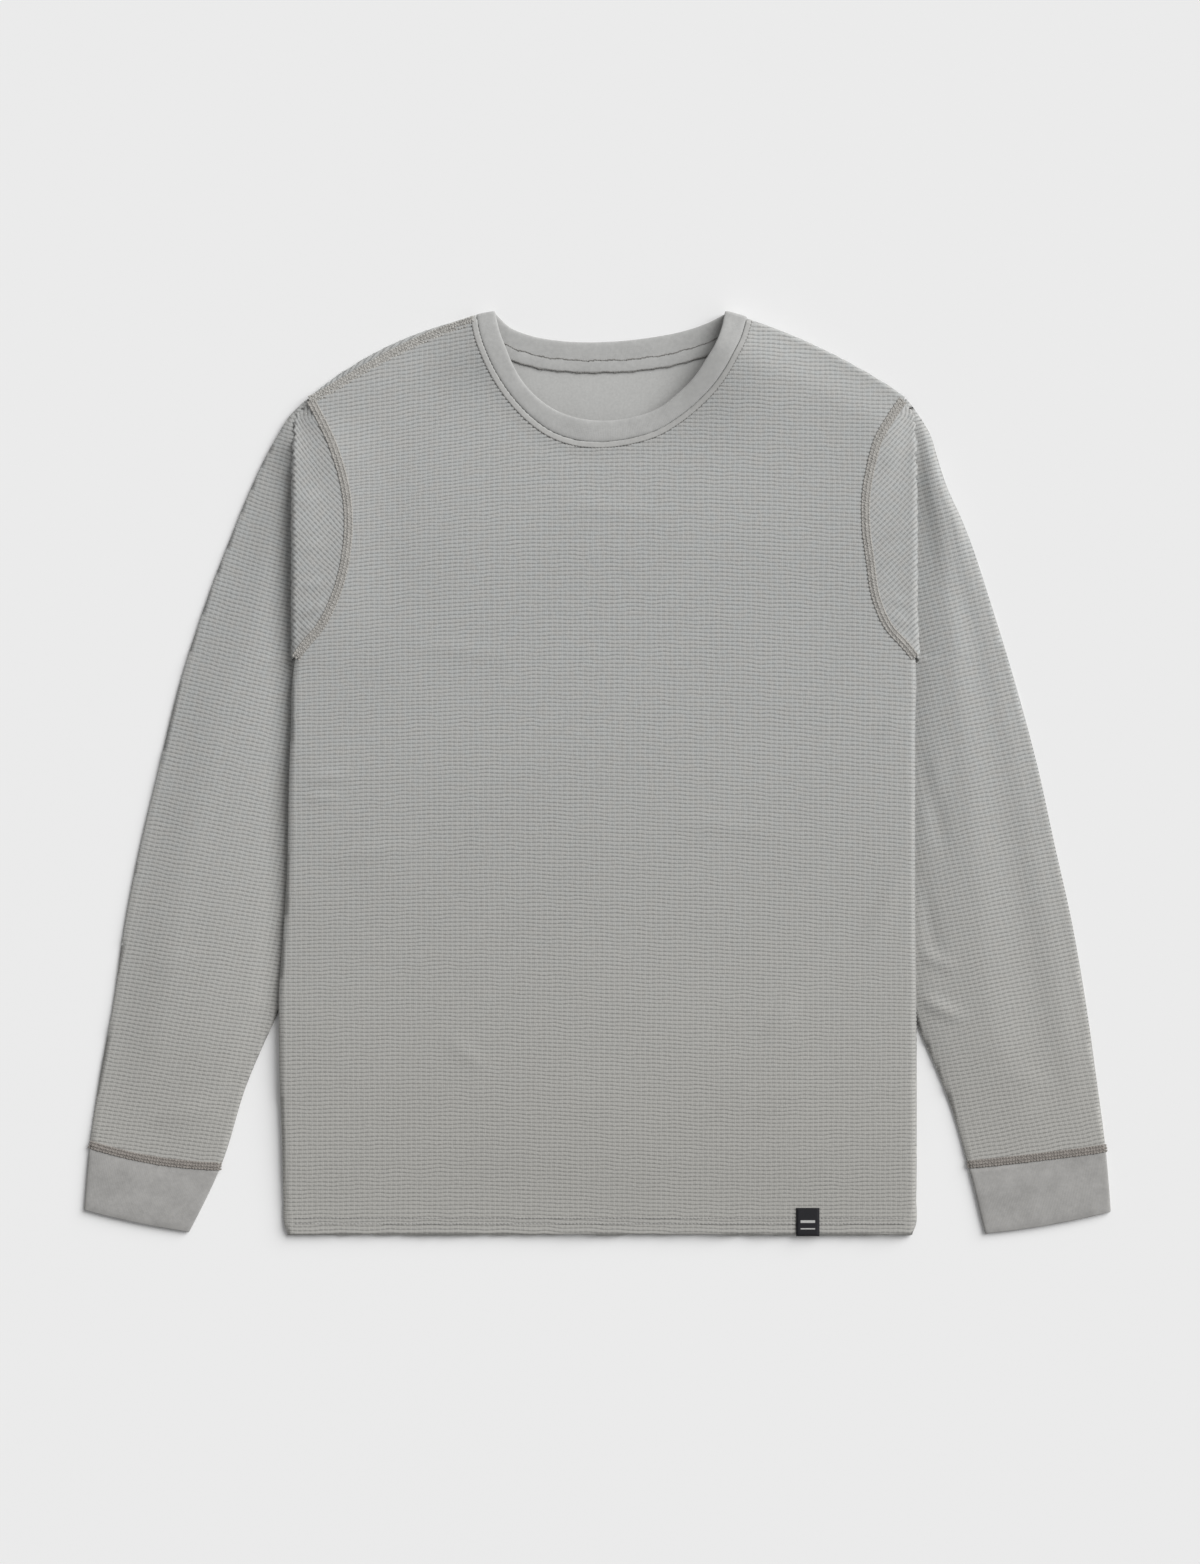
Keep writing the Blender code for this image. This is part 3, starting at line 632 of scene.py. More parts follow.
def side_drop(x, up):
    """How far a panel bends towards the other one at the side edges."""
    radius = SIDE_RADIUS + (loft(x, up) + fold_rise(LEFT, x, up) + fold_rise(RIGHT, x, up)) / 2.0
    return (radius - round_edge(side_gap(x, up), radius)) * fall(up, *SIDES_MEET)


def neck_rise(x, up):
    """How far the front of the neck stands up, most of all at its right side."""
    return sum(
        height * np.exp(-((x - spot_x) ** 2 + (up - spot_up) ** 2) / width**2)
        for spot_x, spot_up, width, height in NECK_RISES
    )


def neck_gap(x, up):
    """Distance to the front neck seam, read only near it."""
    gap = np.full(x.shape, np.inf)
    near = up > NECK_STARTS
    points = np.stack([x[near], up[near]], axis=1)
    gap[near] = nearest(points, smooth_line(FRONT_SEAM, EDGE_STEP))[0]
    return gap


def front_level(x, up):
    """Height of the middle of the front's cloth without its edges and small folds."""
    held = 0.0
    for sleeve in SLEEVES:
        reach, down = polar(sleeve, x, up)[0], SHOULDER_UP - up
        holds = fall(down - sleeve.underarm[0][0], *LEAF_HOLDS) + fall(down, *ARM_HOLDS)
        held = np.maximum(held, 2.0 * PITCH * rise(reach, 0.0, HOLD_GROWS) * holds)
    arch = np.clip(1.0 - ((x - CENTRE_X) / HALF_CHEST) ** 2, 0.0, 1.0)
    dome = DOME * arch * rise(up, *DOME_STARTS) * fall(up, *DOME_ENDS)
    puffs = fold_rise(LEFT, x, up) + fold_rise(RIGHT, x, up) + neck_rise(x, up)
    return FRONT_LEVEL + held * fall(up, *HOLD_ENDS) + loft(x, up) + dome + puffs


def front_form(x, up):
    """Where the middle of the front's cloth lies, from its place in the flat cut."""
    up, hem = hem_turned(up)
    x, up, over = rolled(RIGHT, x, up)
    over = over * (1.0 + neck_rise(x, up) / (2.0 * SIDE_RADIUS))
    edge_fade = rise(side_gap(x, up), *CREASE_SIDE) * rise(up, *CREASE_HEM) * fall(up, *CREASE_NECK)
    height = front_level(x, up) - side_drop(x, up) - over - hem
    height = height + creased(FRONT_CREASES, x, up) * edge_fade
    gap = neck_gap(x, up)
    height = height + NECK_STEP * fall(gap, *NECK_STEP_FADES) * (over < STILL_FLAT)
    return x, up, height - SEAM_DIP * np.exp(-((gap / SEAM_DIP_WIDTH) ** 2))


def front_top(points):
    """Height of the front's outer face over flat places."""
    wall = bpy.context.scene.thermal_cloth.wall / MM
    return front_form(*points.T)[2] + wall / 2.0


def back_form(x, up):
    up, hem = hem_turned(up)
    x, up, over = rolled(LEFT, x, up)
    return x, up, BACK_LEVEL + lift(x, up) + side_drop(x, up) + over + hem


def body_outline(front):
    """The flat cut of the front or the back, with its turned hem and the turn over one shoulder."""
    left, right = (line[line[:, 1] > SIDES_START] for line in BODY_EDGES.values())
    (corner, end), low = HEM_CORNER, HEM_RADIUS - math.pi * HEM_RADIUS - HEM_TURN
    hem = (
        (left[0][0] + corner, HEM_CORNER_UP),
        (left[0][0] + end, low),
        (right[0][0] - end, low),
        (right[0][0] - corner, HEM_CORNER_UP),
    )
    over, under = (RIGHT, LEFT) if front else (LEFT, RIGHT)
    round_turn = (math.pi - 2.0) * SIDE_RADIUS - ROLL_GAP
    top = {
        over.name: shoulder_points(over, lambda share: round_turn + ROLL_END * roll_width(share)),
        under.name: shoulder_points(under, lambda share: -roll_width(share)),
    }
    neck = smooth_line(FRONT_SEAM if front else BACK_SEAM, EDGE_STEP)[-2:0:-1]
    left_top, left_side = top["left"][::-1], left[::-1][1:]
    return np.concatenate([hem, right[:-1], top["right"], neck, left_top, left_side])


# ================================================================ the sleeves


def sleeve_path(sleeve, reach, across):
    """(across, height, heading, share on the cap) on the folded sleeve, from the flat one."""
    straight, radius, _, start = pleat_marks(sleeve, reach)
    past = start - across
    beyond = past - math.pi * radius - straight
    first, second = (np.clip(part / radius, 0.0, math.pi) for part in (past, beyond))
    place = start + radius * (np.sin(second) - np.sin(first)) + np.maximum(-past, 0.0)
    place = place + np.clip(past - math.pi * radius, 0.0, straight)
    place = place - np.maximum(beyond - math.pi * radius, 0.0)
    height = SLEEVE_BASE + radius * (2.0 - np.cos(first) - np.cos(second))
    heading = np.where(beyond > 0.0, second - math.pi, -first)
    return place, height, heading, ease(second / math.pi)


def fold_drawn(sleeve, reach):
    """How far the fold line is drawn outward, so that it runs straight down."""
    outer = reach * outer_turn(sleeve, reach) - FOLD_INSET
    drawn = np.minimum(sleeve.fold_offset, outer) - reach * math.radians(sleeve.front_pleat)
    return np.maximum(drawn, 0.0)


def fold_shift(sleeve, reach, across):
    """The same for any place: none at the hidden fold, all of it on the cap."""
    straight, radius, _, start = pleat_marks(sleeve, reach)
    leaf = np.maximum(math.pi * radius + straight, LEAST_LEAF)
    return fold_drawn(sleeve, reach) * np.clip((start - across) / leaf, 0.0, 1.0)


def sleeve_marks(sleeve):
    """Reaches and flat places across, down the sleeve's inner edge, for cap, leaf and arm."""
    reach, turn = ARMHOLES[sleeve.name]
    keep = reach > SHOULDER_REACH
    cap_reach = reach[keep]
    laid = cap_reach * turn[keep] + CAP_INSET - fold_drawn(sleeve, cap_reach)
    straight, radius, cap_end, start = pleat_marks(sleeve, cap_reach)
    cap = start + laid - cap_end - straight - 2.0 * math.pi * radius

    near, far = leaf_reaches(sleeve)
    leaf_reach = np.linspace(near, far, LEAF_POINTS)[1:-1]
    share = (leaf_reach - near) / (far - near)
    leaf_turn = math.radians(sleeve.front_pleat) - math.radians(PLEAT_TURN) * share
    _, radius, _, start = pleat_marks(sleeve, leaf_reach)
    leaf = 2.0 * start - math.pi * radius - leaf_reach * leaf_turn

    arm_reach = np.linspace(far, sleeve.cuff_seam - CUFF_GAP, ARM_POINTS)
    arm = arm_reach * underarm_turn(sleeve, arm_reach) + ARM_INSET
    return (cap_reach, cap), (leaf_reach, leaf), (arm_reach, arm)


def sleeve_outline(sleeve):
    """The flat cut of one layer of the sleeve, down to its cuff seam."""
    reach, across = (np.concatenate(parts) for parts in zip(*sleeve_marks(sleeve)))
    last = sleeve.cuff_seam - CUFF_GAP
    outer = last * outer_turn(sleeve, last) - SLEEVE_INSET
    ends = np.linspace(across[-1], outer, END_POINTS)[1:-1]
    back = np.linspace(last, SHOULDER_REACH, OUTER_POINTS)
    reach = np.concatenate([reach, np.full(len(ends), last), back])
    across = np.concatenate([across, ends, back * outer_turn(sleeve, back) - SLEEVE_INSET])
    return np.stack(from_polar(sleeve, reach, across / reach), axis=1)


def beside_fold(sleeve, x, up):
    """Distance outward from the fold or edge that the sleeve comes out under."""
    reach, turn = polar(sleeve, x, up)
    straight, radius, _, start = pleat_marks(sleeve, reach)
    visible = start + straight + radius + HALF_PITCH + fold_drawn(sleeve, reach)
    by_edge = sleeve.side * (x - edge_x(sleeve, up))
    return np.where(up > UNDERARM_UP, reach * turn - visible, by_edge)


def swelled(sleeve, reach, beside, outer_gap):
    """How far the springy upper layer stands off between its fold and its outer edge."""
    shows = np.maximum(beside + outer_gap, 1.0)
    share = beside / shows
    leaning = sleeve.leans_up * fall(reach, *LEAN_ENDS)
    climb = np.clip(beside / sleeve.fold_slope, 0.0, 1.0)
    near = ease(climb) + sleeve.steep * (1.0 - (1.0 - climb) ** 2 - ease(climb))
    rounded = (near + ease(share / SWELL_ROUND)) / 2.0
    swell = np.minimum(sleeve.puff, SWELL * shows) * rounded * (1.0 - leaning)
    swell = swell + leaning * share * np.minimum(LEAN_RISE, LEAN_SLOPE * shows)
    dip = sleeve.ridge * np.minimum(1.0, shows / DIP_SHOWS)
    swell = swell - dip * (rise(share, *DIP_FALLS) - DIP_BACK * rise(share, *DIP_RECOVERS))
    slope = sleeve.outer_slope * (1.0 - LEAN_KEEPS_EDGE * leaning)
    return swell * ease(outer_gap / slope) * fall(reach - sleeve.cuff_seam, *CUFF_FLATTENS)


def sleeve_form(sleeve, layer):
    """The place of one layer of a sleeve: layer is 1 for the front one and -1 for the back one."""
    cap_marks, *inner_marks = sleeve_marks(sleeve)
    inner_edge = [np.concatenate(parts) for parts in zip(*inner_marks)]
    cap_last = cap_marks[0][-1]

    def form(x, up):
        reach, turn = polar(sleeve, x, up)
        reach = np.maximum(reach, 1.0)
        across = reach * turn
        outer_gap = reach * outer_turn(sleeve, reach) - SLEEVE_INSET - across
        inner_gap = across - np.interp(reach, *inner_edge)
        inner_gap = np.where(reach > cap_last + UNDERARM_NEAR, inner_gap, FAR)
        spread = layer * round_edge(np.minimum(outer_gap, inner_gap), HALF_PITCH)
        place, height, heading, on_cap = sleeve_path(sleeve, reach, across)
        place = place - spread * np.sin(heading) + fold_shift(sleeve, reach, across)
        height = height + spread * np.cos(heading)
        new_x, new_up = from_polar(sleeve, reach, place / reach)
        if layer < 0:
            return new_x, new_up, height

        beside = np.minimum(np.maximum(beside_fold(sleeve, new_x, new_up), 0.0), inner_gap)
        below = 1.0 - on_cap
        swell = swelled(sleeve, reach, beside, outer_gap) * below * (heading > -STILL_FLAT)
        merged = fall(reach, *MERGE_ENDS) * np.exp(-beside / MERGE_WIDTH) * below
        puff = fold_rise(sleeve, new_x, new_up)
        height = height + swell + (pleat_height(reach) + puff) * merged
        height = height + (loft(new_x, new_up) + puff) * on_cap

        # the cap's edge is carried up or down to lie on the front at the armhole
        edge_turn = np.interp(reach, *ARMHOLES[sleeve.name])
        level = front_level(*from_polar(sleeve, reach, edge_turn)) + CAP_OVER
        laid = fold_drawn(sleeve, reach) + (math.radians(sleeve.front_pleat) - edge_turn) * reach
        seam_gap = place - edge_turn * reach
        seamed = fall(seam_gap, 0.0, np.maximum(CAP_PILE * laid, CAP_PILE_LEAST))
        seamed = seamed * on_cap * (reach < cap_last + UNDERARM_SEAMED)
        height = height + (level - height) * seamed
        edged = ease(beside / CREASE_FOLD) * ease(outer_gap / CREASE_OUTER)
        edged = edged * fall(reach - sleeve.cuff_seam, *CREASE_CUFF)
        edged = edged * below + rise(seam_gap, *CREASE_SEAM) * on_cap
        return new_x, new_up, height + creased(sleeve.creases, new_x, new_up) * edged

    return form


# ================================================================ meshes


def make_object(name, data):
    made = bpy.data.objects.new(name, data)
    bpy.context.scene.collection.objects.link(made)
    return made


def place_points(points):
    """Metres in the frame from (x, up, height)."""
    return (points - (0.0, HALF_LENGTH, 0.0)) * MM


def make_mesh(name, points, triangles, uv=None, material=None, attributes=()):
    """A mesh object from arrays. attributes: (name, kind, domain, field, values)."""
    data = bpy.data.meshes.new(name)
    data.vertices.add(len(points))
    data.vertices.foreach_set("co", np.ascontiguousarray(points, np.float32).ravel())
    data.loops.add(triangles.size)
    data.loops.foreach_set("vertex_index", triangles.ravel().astype(np.int32))
    data.polygons.add(len(triangles))
    data.polygons.foreach_set("loop_start", np.arange(0, triangles.size, 3, dtype=np.int32))
    data.polygons.foreach_set("use_smooth", np.ones(len(triangles), bool))
    data.update(calc_edges=True)
    if uv is not None:
        layer = data.uv_layers.new(name="knit")
        layer.data.foreach_set("uv", uv[triangles.ravel()].astype(np.float32).ravel())
    for key, kind, domain, field, values in attributes:
        data.attributes.new(key, kind, domain).data.foreach_set(field, values.ravel())
    if material:
        data.materials.append(bpy.data.materials[material])
    return make_object(name, data)


def ripple(x, up, seed):
    """Small even-handed wandering of the knit's lines."""
    chance = np.random.default_rng(seed)
    low, high = RIPPLE_LENGTHS
    moved = np.zeros(x.shape)
    for _ in range(RIPPLES):
        length = low * (high / low) ** chance.random()
        heading, phase = chance.random(2) * 2.0 * math.pi
        along = x * math.cos(heading) + up * math.sin(heading)
        moved += np.sin(2.0 * math.pi * along / length + phase) * (length / RIPPLE_UNIT) ** 0.5
    return moved * RIPPLE


def lean_at(spots, x, up):
    """Lean of the courses at a place, from the spots around it."""
    total, weight = np.zeros(x.shape), np.zeros(x.shape)
    for spot_x, spot_up, lean in spots:
        near = 1.0 / ((x - spot_x) ** 2 + (up - spot_up) ** 2 + LEAN_REACH**2) ** 2
        total += near * lean
        weight += near
    return total / weight


def lattice(outline, leans, grain):
    """Flat places of the knit's half-cell points over an outline: (x, up), rows by columns."""
    slope = math.radians(-grain)
    across = np.array([math.cos(slope), math.sin(slope)])
    upward = np.array([-across[1], across[0]])
    middle = outline.mean(axis=0)
    local = (outline - middle) @ np.stack([across, upward], axis=1)
    reach = np.abs(local).max(axis=0) + KNIT_MARGIN
    columns = 2 * math.ceil(reach[0] / WAFFLE.wale)
    rows = 2 * BLOCK_COURSES * math.ceil(reach[1] / (WAFFLE.course * BLOCK_COURSES))
    p, q = np.meshgrid(
        np.arange(-columns, columns + 1) * WAFFLE.wale / 2.0,
        np.arange(-rows, rows + 1) * WAFFLE.course / 2.0,
    )
    x = middle[0] + p * across[0] + q * upward[0]
    up = middle[1] + p * across[1] + q * upward[1]
    steepness = np.clip(grain - lean_at(leans, x, up), -STEEPEST_LEAN, STEEPEST_LEAN)
    slide = np.tan(np.radians(steepness))
    run = np.zeros(x.shape)
    run[:, 1:] = np.cumsum((slide[:, 1:] + slide[:, :-1]) / 2.0 * (WAFFLE.wale / 2.0), axis=1)
    run -= run[:, [columns]]
    return x + run * upward[0] + ripple(x, up, 1), up + run * upward[1] + ripple(x, up, 2)


def knit_panel(outline, leans, grain, form, wall, outer_side):
    """Arrays of a shell of waffle knit: the flat cut is covered with cells, its edge cells are
    drawn to the outline, and form() lays it in place. outer_side is 1 where its outer face looks
    up, -1 where it looks down."""
    x, up = lattice(outline, leans, grain)
    rows, columns = x.shape
    count = rows * columns
    flat = np.stack([x.ravel(), up.ravel()], axis=1)
    close = ((flat > outline.min(axis=0)) & (flat < outline.max(axis=0))).all(axis=1)
    within = np.zeros(count, bool)
    within[close] = inside(flat[close], outline)
    block = 2 * BLOCK_COURSES
    block_rows, block_columns = (rows - 1) // block, (columns - 1) // 2
    kept = np.zeros((block_rows, block_columns), bool)
    for row in range(block + 1):
        for column in range(3):
            corners = within.reshape(rows, columns)[row::block, column::2]
            kept |= corners[:block_rows, :block_columns]
    bj, bi = np.nonzero(kept)

    def at(row, column):
        return (bj * block + row) * columns + bi * 2 + column

    def faces(chosen):
        return np.concatenate([np.stack(face, axis=1) for face in chosen])

    outer = []
    for row in range(0, block, 2):
        a, b, c, d = at(row, 0), at(row, 2), at(row + 2, 0), at(row + 2, 2)
        p, q, r = (at(row + 1, column) for column in range(3))
        outer += [(a, b, q), (a, q, p), (b, r, q), (p, q, c), (q, d, c), (q, r, d)]
    low, high, high_right, low_right = (
        at(row, column) + count for row, column in ((0, 0), (block, 0), (block, 2), (0, 2))
    )
    outer, inner = faces(outer), faces([(low, high, high_right), (low, high_right, low_right)])

    # the cut edges are closed where a block has no neighbour
    padded = np.pad(kept, 1)
    free_sides = (
        (padded[1:-1, :-2], [low, *(at(row, 0) for row in range(block + 1)), high]),
        (padded[1:-1, 2:], [high_right, *(at(row, 2) for row in range(block, -1, -1)), low_right]),
        (padded[:-2, 1:-1], [at(0, 2), at(0, 0), low, low_right]),
        (padded[2:, 1:-1], [high_right, high, at(block, 0), at(block, 2)]),
    )
    rim = []
    for neighbours, chain in free_sides:
        free = ~neighbours[bj, bi]
        for one, two in zip(chain[1:], chain[2:]):
            rim.append((chain[0][free], one[free], two[free]))

    triangles = np.concatenate([outer, inner, faces(rim)])
    is_inner = np.zeros(len(triangles), bool)
    is_inner[len(outer) : len(outer) + len(inner)] = True
    used, triangles = np.unique(triangles, return_inverse=True)
    triangles = triangles.reshape(-1, 3)[:, :: int(outer_side)]
    on_inner, spot = used >= count, used % count
    places, stray = flat[spot], ~within[spot]
    _, places[stray] = nearest(places[stray], outline, closed=True)

    def laid(step_x, step_up):
        return np.stack(form(places[:, 0] + step_x, places[:, 1] + step_up), axis=1)

    step = SLOPE_PROBE
    outward = np.cross(laid(step, 0.0) - laid(-step, 0.0), laid(0.0, step) - laid(0.0, -step))
    outward *= outer_side / np.maximum(np.linalg.norm(outward, axis=1, keepdims=True), TINY)
    row, column = spot // columns, spot % columns
    at_wale, at_course = column % 2 == 0, row % 2 == 0
    ridge = np.where(at_wale, WAFFLE.corner, WAFFLE.saddle)
    relief = np.where(at_course, ridge, np.where(at_wale, WAFFLE.rib, WAFFLE.pit))
    relief = np.where(on_inner, 0.0, relief) * np.where(stray, EDGE_RELIEF, 1.0)
    relief = relief * (UPRIGHT_RELIEF + (1.0 - UPRIGHT_RELIEF) * outward[:, 2] ** 2)
    side = np.where(on_inner, -wall / 2.0, wall / 2.0)
    return {
        "points": place_points(laid(0.0, 0.0) + outward * side[:, None]),
        "triangles": triangles,
        "uv": np.stack([column / 2.0, row / 2.0], axis=1),
        "inner": is_inner,
        "relief": relief.astype(np.float32),
        "outward": outward.astype(np.float32),
    }


def join_panels(parts):
    starts = np.cumsum([0] + [len(part["points"]) for part in parts[:-1]])
    for part, start in zip(parts, starts):
        part["triangles"] = part["triangles"] + start
    return {key: np.concatenate([part[key] for part in parts]) for key in parts[0]}


def skin(rows, closed_along):
    """(points, triangles) of a tube through equally long rings, closed on itself or capped."""
    count, width, _ = rows.shape
    j, i = np.meshgrid(np.arange(count - (not closed_along)), np.arange(width), indexing="ij")
    j, i = j.ravel(), i.ravel()
    a, b = j * width + i, j * width + (i + 1) % width
    c, d = (j + 1) % count * width + i, (j + 1) % count * width + (i + 1) % width
    triangles = [np.stack([a, b, d], axis=1), np.stack([a, d, c], axis=1)]
    if not closed_along:
        one, two = np.arange(1, width - 1), np.arange(2, width)
        middle = np.zeros(width - 2, int)
        triangles.append(np.stack([middle, two, one], axis=1))
        triangles.append(np.stack([middle, one, two], axis=1) + (count - 1) * width)
    return rows.reshape(-1, 3), np.concatenate(triangles)


# ================================================================ node trees


class Nodes:
    """Builds a node tree: each call to node() makes one node, sets it up and links it."""

    def __init__(self, tree):
        self.tree = tree

    def node(self, kind, settings=None, inputs=None):
        made = self.tree.nodes.new(kind)
        for key, value in (settings or {}).items():
            setattr(made, key, value)
        for key, value in (inputs or {}).items():
            self.feed(made.inputs[key], value)
        return made

    def feed(self, socket, value):
        value = getattr(value, "socket", value)
        if isinstance(value, bpy.types.NodeSocket):
            self.tree.links.new(value, socket)
        else:
            socket.default_value = value

    def value(self, kind, settings=None, inputs=None, output=0):
        """One output of a new node, ready for expressions."""
        return Value(self, self.node(kind, settings, inputs).outputs[output])


def both_ways(operation):
    """The methods of an operator: with the value before it, and with the value after it."""
    return (
        lambda self, other: self.math(operation, self, other),
        lambda self, other: self.math(operation, other, self),
    )


class Value:
    """A number or vector from a node, which takes part in Python expressions."""

    def __init__(self, nodes, socket):
        self.nodes = nodes
        self.socket = socket

    def math(self, operation, *values):
        settings = {"operation": operation}
        return self.nodes.value("ShaderNodeMath", settings, dict(enumerate(values)))

    __add__, __radd__ = both_ways("ADD")
    __sub__, __rsub__ = both_ways("SUBTRACT")
    __mul__, __rmul__ = both_ways("MULTIPLY")
    __truediv__, __rtruediv__ = both_ways("DIVIDE")
    __pow__, __rpow__ = both_ways("POWER")

    def fraction(self):
        return self.math("FRACT", self)

    def sine(self):
        return self.math("SINE", self)

    def wave(self, rate):
        """0 to 1 and back, rate radians for each unit."""
        return (self * rate).sine() * 0.5 + 0.5

    def absolute(self):
        return self.math("ABSOLUTE", self)

    def most(self, other):
        return self.math("MAXIMUM", self, other)

    def clamped(self):
        return self.math("MINIMUM", self, 1.0).most(0.0)

    def between(self, low, high):
        """0 below low to 1 above high, eased."""
        settings = {"interpolation_type": "SMOOTHSTEP"}
        return self.nodes.value("ShaderNodeMapRange", settings, {0: self, 1: low, 2: high})


# ---------------------------------------------------------------- geometry trees


def new_tree(name, **inputs):
    """A geometry tree with a geometry input and output, and further inputs: (kind, default).
    Gives (its nodes, its inputs by name)."""
    tree = bpy.data.node_groups.new(name, "GeometryNodeTree")
    tree.interface.new_socket(name="Geometry", in_out="OUTPUT", socket_type="NodeSocketGeometry")
    for label, (kind, default) in {"Geometry": ("Geometry", None), **inputs}.items():
        socket = tree.interface.new_socket(
            name=label.replace("_", " "), in_out="INPUT", socket_type="NodeSocket" + kind
        )
        if default is not None:
            socket.default_value = default
    nodes = Nodes(tree)
    outputs = nodes.node("NodeGroupInput").outputs
    return nodes, {socket.name: Value(nodes, socket) for socket in outputs}


def relief_tree():
    """Raises the ridges and sinks the pits of a knit along its outward direction."""
    nodes, given = new_tree(
        "Knit relief",
        Relief=("Float", 0.0004),
        Unevenness=("Float", 0.3),
        Patch_size=("Float", 0.012),
        Seed=("Int", 4),
        Outside=("Material", None),
        Inside=("Material", None),
    )

    def attribute(kind, name):
        return nodes.value("GeometryNodeInputNamedAttribute", {"data_type": kind}, {"Name": name})

    noise_inputs = {"W": given["Seed"], "Scale": 1.0 / given["Patch size"], "Detail": 2.0}
    patches = nodes.value("ShaderNodeTexNoise", {"noise_dimensions": "4D"}, noise_inputs)
    uneven = (patches * 2.0 - 1.0) * given["Unevenness"] + 1.0
    amount = attribute("FLOAT", "relief") * given["Relief"] * uneven
    outward = {0: attribute("FLOAT_VECTOR", "outward"), "Scale": amount}
    offset = nodes.value("ShaderNodeVectorMath", {"operation": "SCALE"}, outward)
    chain(
        nodes,
        given["Geometry"],
        ("GeometryNodeSetPosition", {"Offset": offset}),
        ("GeometryNodeRealizeInstances", {}),
        ("GeometryNodeSetMaterial", {"Material": given["Outside"]}),
        (
            "GeometryNodeSetMaterial",
            {"Selection": attribute("BOOLEAN", "inner"), "Material": given["Inside"]},
        ),
    )


def chain(nodes, geometry, *steps):
    """Passes a geometry through nodes in turn and on to the tree's output."""
    for kind, inputs in (*steps, ("NodeGroupOutput", {})):
        made = nodes.node(kind, None, {0: geometry, **inputs})
        geometry = made.outputs[0] if made.outputs else None


def stitch_tree():
    """Lays stitches along every line of the mesh it is given."""
    nodes, given = new_tree(
        "Stitches",
        Spacing=("Float", 0.002),
        Length=("Float", 0.002),
        Width=("Float", 0.0005),
        Height=("Float", 0.0004),
        Turn=("Float", 0.0),
        Zigzag=("Float", 0.0),
        Unevenness=("Float", 0.12),
        Seed=("Int", 7),
        Thread=("Material", None),
    )
    ball = nodes.value("GeometryNodeMeshUVSphere", None, {"Segments": 6, "Rings": 4, "Radius": 0.5})
    axes = {axis: given[name] for axis, name in enumerate(("Length", "Width", "Height"))}
    size = nodes.value("ShaderNodeCombineXYZ", None, axes)
    stitch = nodes.value("GeometryNodeTransform", None, {"Geometry": ball, "Scale": size})
    along = nodes.value(
        "FunctionNodeAlignRotationToVector",
        {"axis": "X", "pivot_axis": "Z"},
        {"Vector": nodes.value("GeometryNodeInputTangent")},
    )
    every_other = (nodes.value("GeometryNodeInputIndex") * 0.5).fraction()
    alternate = 1.0 - every_other * 4.0 * given["Zigzag"]
    chance = nodes.value(
        "FunctionNodeRandomValue",
        {"data_type": "FLOAT"},
        {"Min": -1.0, "Max": 1.0, "Seed": given["Seed"]},
        output=1,
    )
    wobble = chance * given["Unevenness"]
    turn = nodes.value("ShaderNodeCombineXYZ", None, {2: given["Turn"] * alternate + wobble})
    rotation = nodes.value(
        "FunctionNodeRotateRotation",
        {"rotation_space": "LOCAL"},
        {"Rotation": along, "Rotate By": turn},
    )
    line = nodes.value("GeometryNodeMeshToCurve", None, {"Mesh": given["Geometry"]})
    even = nodes.value(
        "GeometryNodeResampleCurve", {"mode": "LENGTH"}, {"Curve": line, "Length": given["Spacing"]}
    )
    placed = {"Instance": stitch, "Rotation": rotation, "Scale": wobble * 0.8 + 1.0}
    chain(
        nodes,
        even,
        ("GeometryNodeInstanceOnPoints", placed),
        ("GeometryNodeRealizeInstances", {}),
        ("GeometryNodeSetShadeSmooth", {}),
        ("GeometryNodeSetMaterial", {"Material": given["Thread"]}),
    )


def through_tree(piece, name, **settings):
    """Runs the piece through a geometry tree and keeps the result as its plain mesh."""
    tree = bpy.data.node_groups[name]
    modifier = piece.modifiers.new(name, "NODES")
    modifier.node_group = tree
    for item in tree.interface.items_tree:
        if item.in_out == "INPUT" and item.name in settings:
            value = settings[item.name]
            is_material = item.socket_type == "NodeSocketMaterial"
            modifier[item.identifier] = bpy.data.materials[value] if is_material else value
    graph = bpy.context.evaluated_depsgraph_get()
    made = bpy.data.meshes.new_from_object(piece.evaluated_get(graph), depsgraph=graph)
    piece.modifiers.clear()
    old, piece.data = piece.data, made
    made.name = piece.name
    bpy.data.meshes.remove(old)
    for key in {"relief", "outward", "inner"} & set(made.attributes.keys()):
        made.attributes.remove(made.attributes[key])
    return piece


# ================================================================ materials


def shader(name, roughness, sheen=0.0):
    """A new material: (its nodes, its Principled shader)."""
    material = bpy.data.materials.new(name)
    material.use_nodes = True
    principled = material.node_tree.nodes["Principled BSDF"]
    principled.inputs["Roughness"].default_value = roughness
    principled.inputs["Specular IOR Level"].default_value = 0.25
    principled.inputs["Sheen Weight"].default_value = sheen
    principled.inputs["Sheen Roughness"].default_value = 0.6
    return Nodes(material.node_tree), principled


def dress(nodes, principled, color, height, strength, distance=0.0001):
    """Gives a shader its colour and the bumps of a height."""
    nodes.feed(principled.inputs["Base Color"], color)
    bumps = {"Strength": strength, "Distance": distance, "Height": height}
    nodes.feed(principled.inputs["Normal"], nodes.value("ShaderNodeBump", None, bumps))


def blend(nodes, share, low, high):
    """A colour between two others."""
    inputs = {0: share, 6: low, 7: high}
    return nodes.value("ShaderNodeMix", {"data_type": "RGBA"}, inputs, output=2)


def opaque(color, factor=1.0):
    return (*(channel * factor for channel in color), 1.0)


def toned(nodes, color, shade, dark=0.1, light=1.0):
    """A colour at a tone from dark to light."""
    return blend(nodes, shade.clamped(), opaque(color, dark), opaque(color, light))


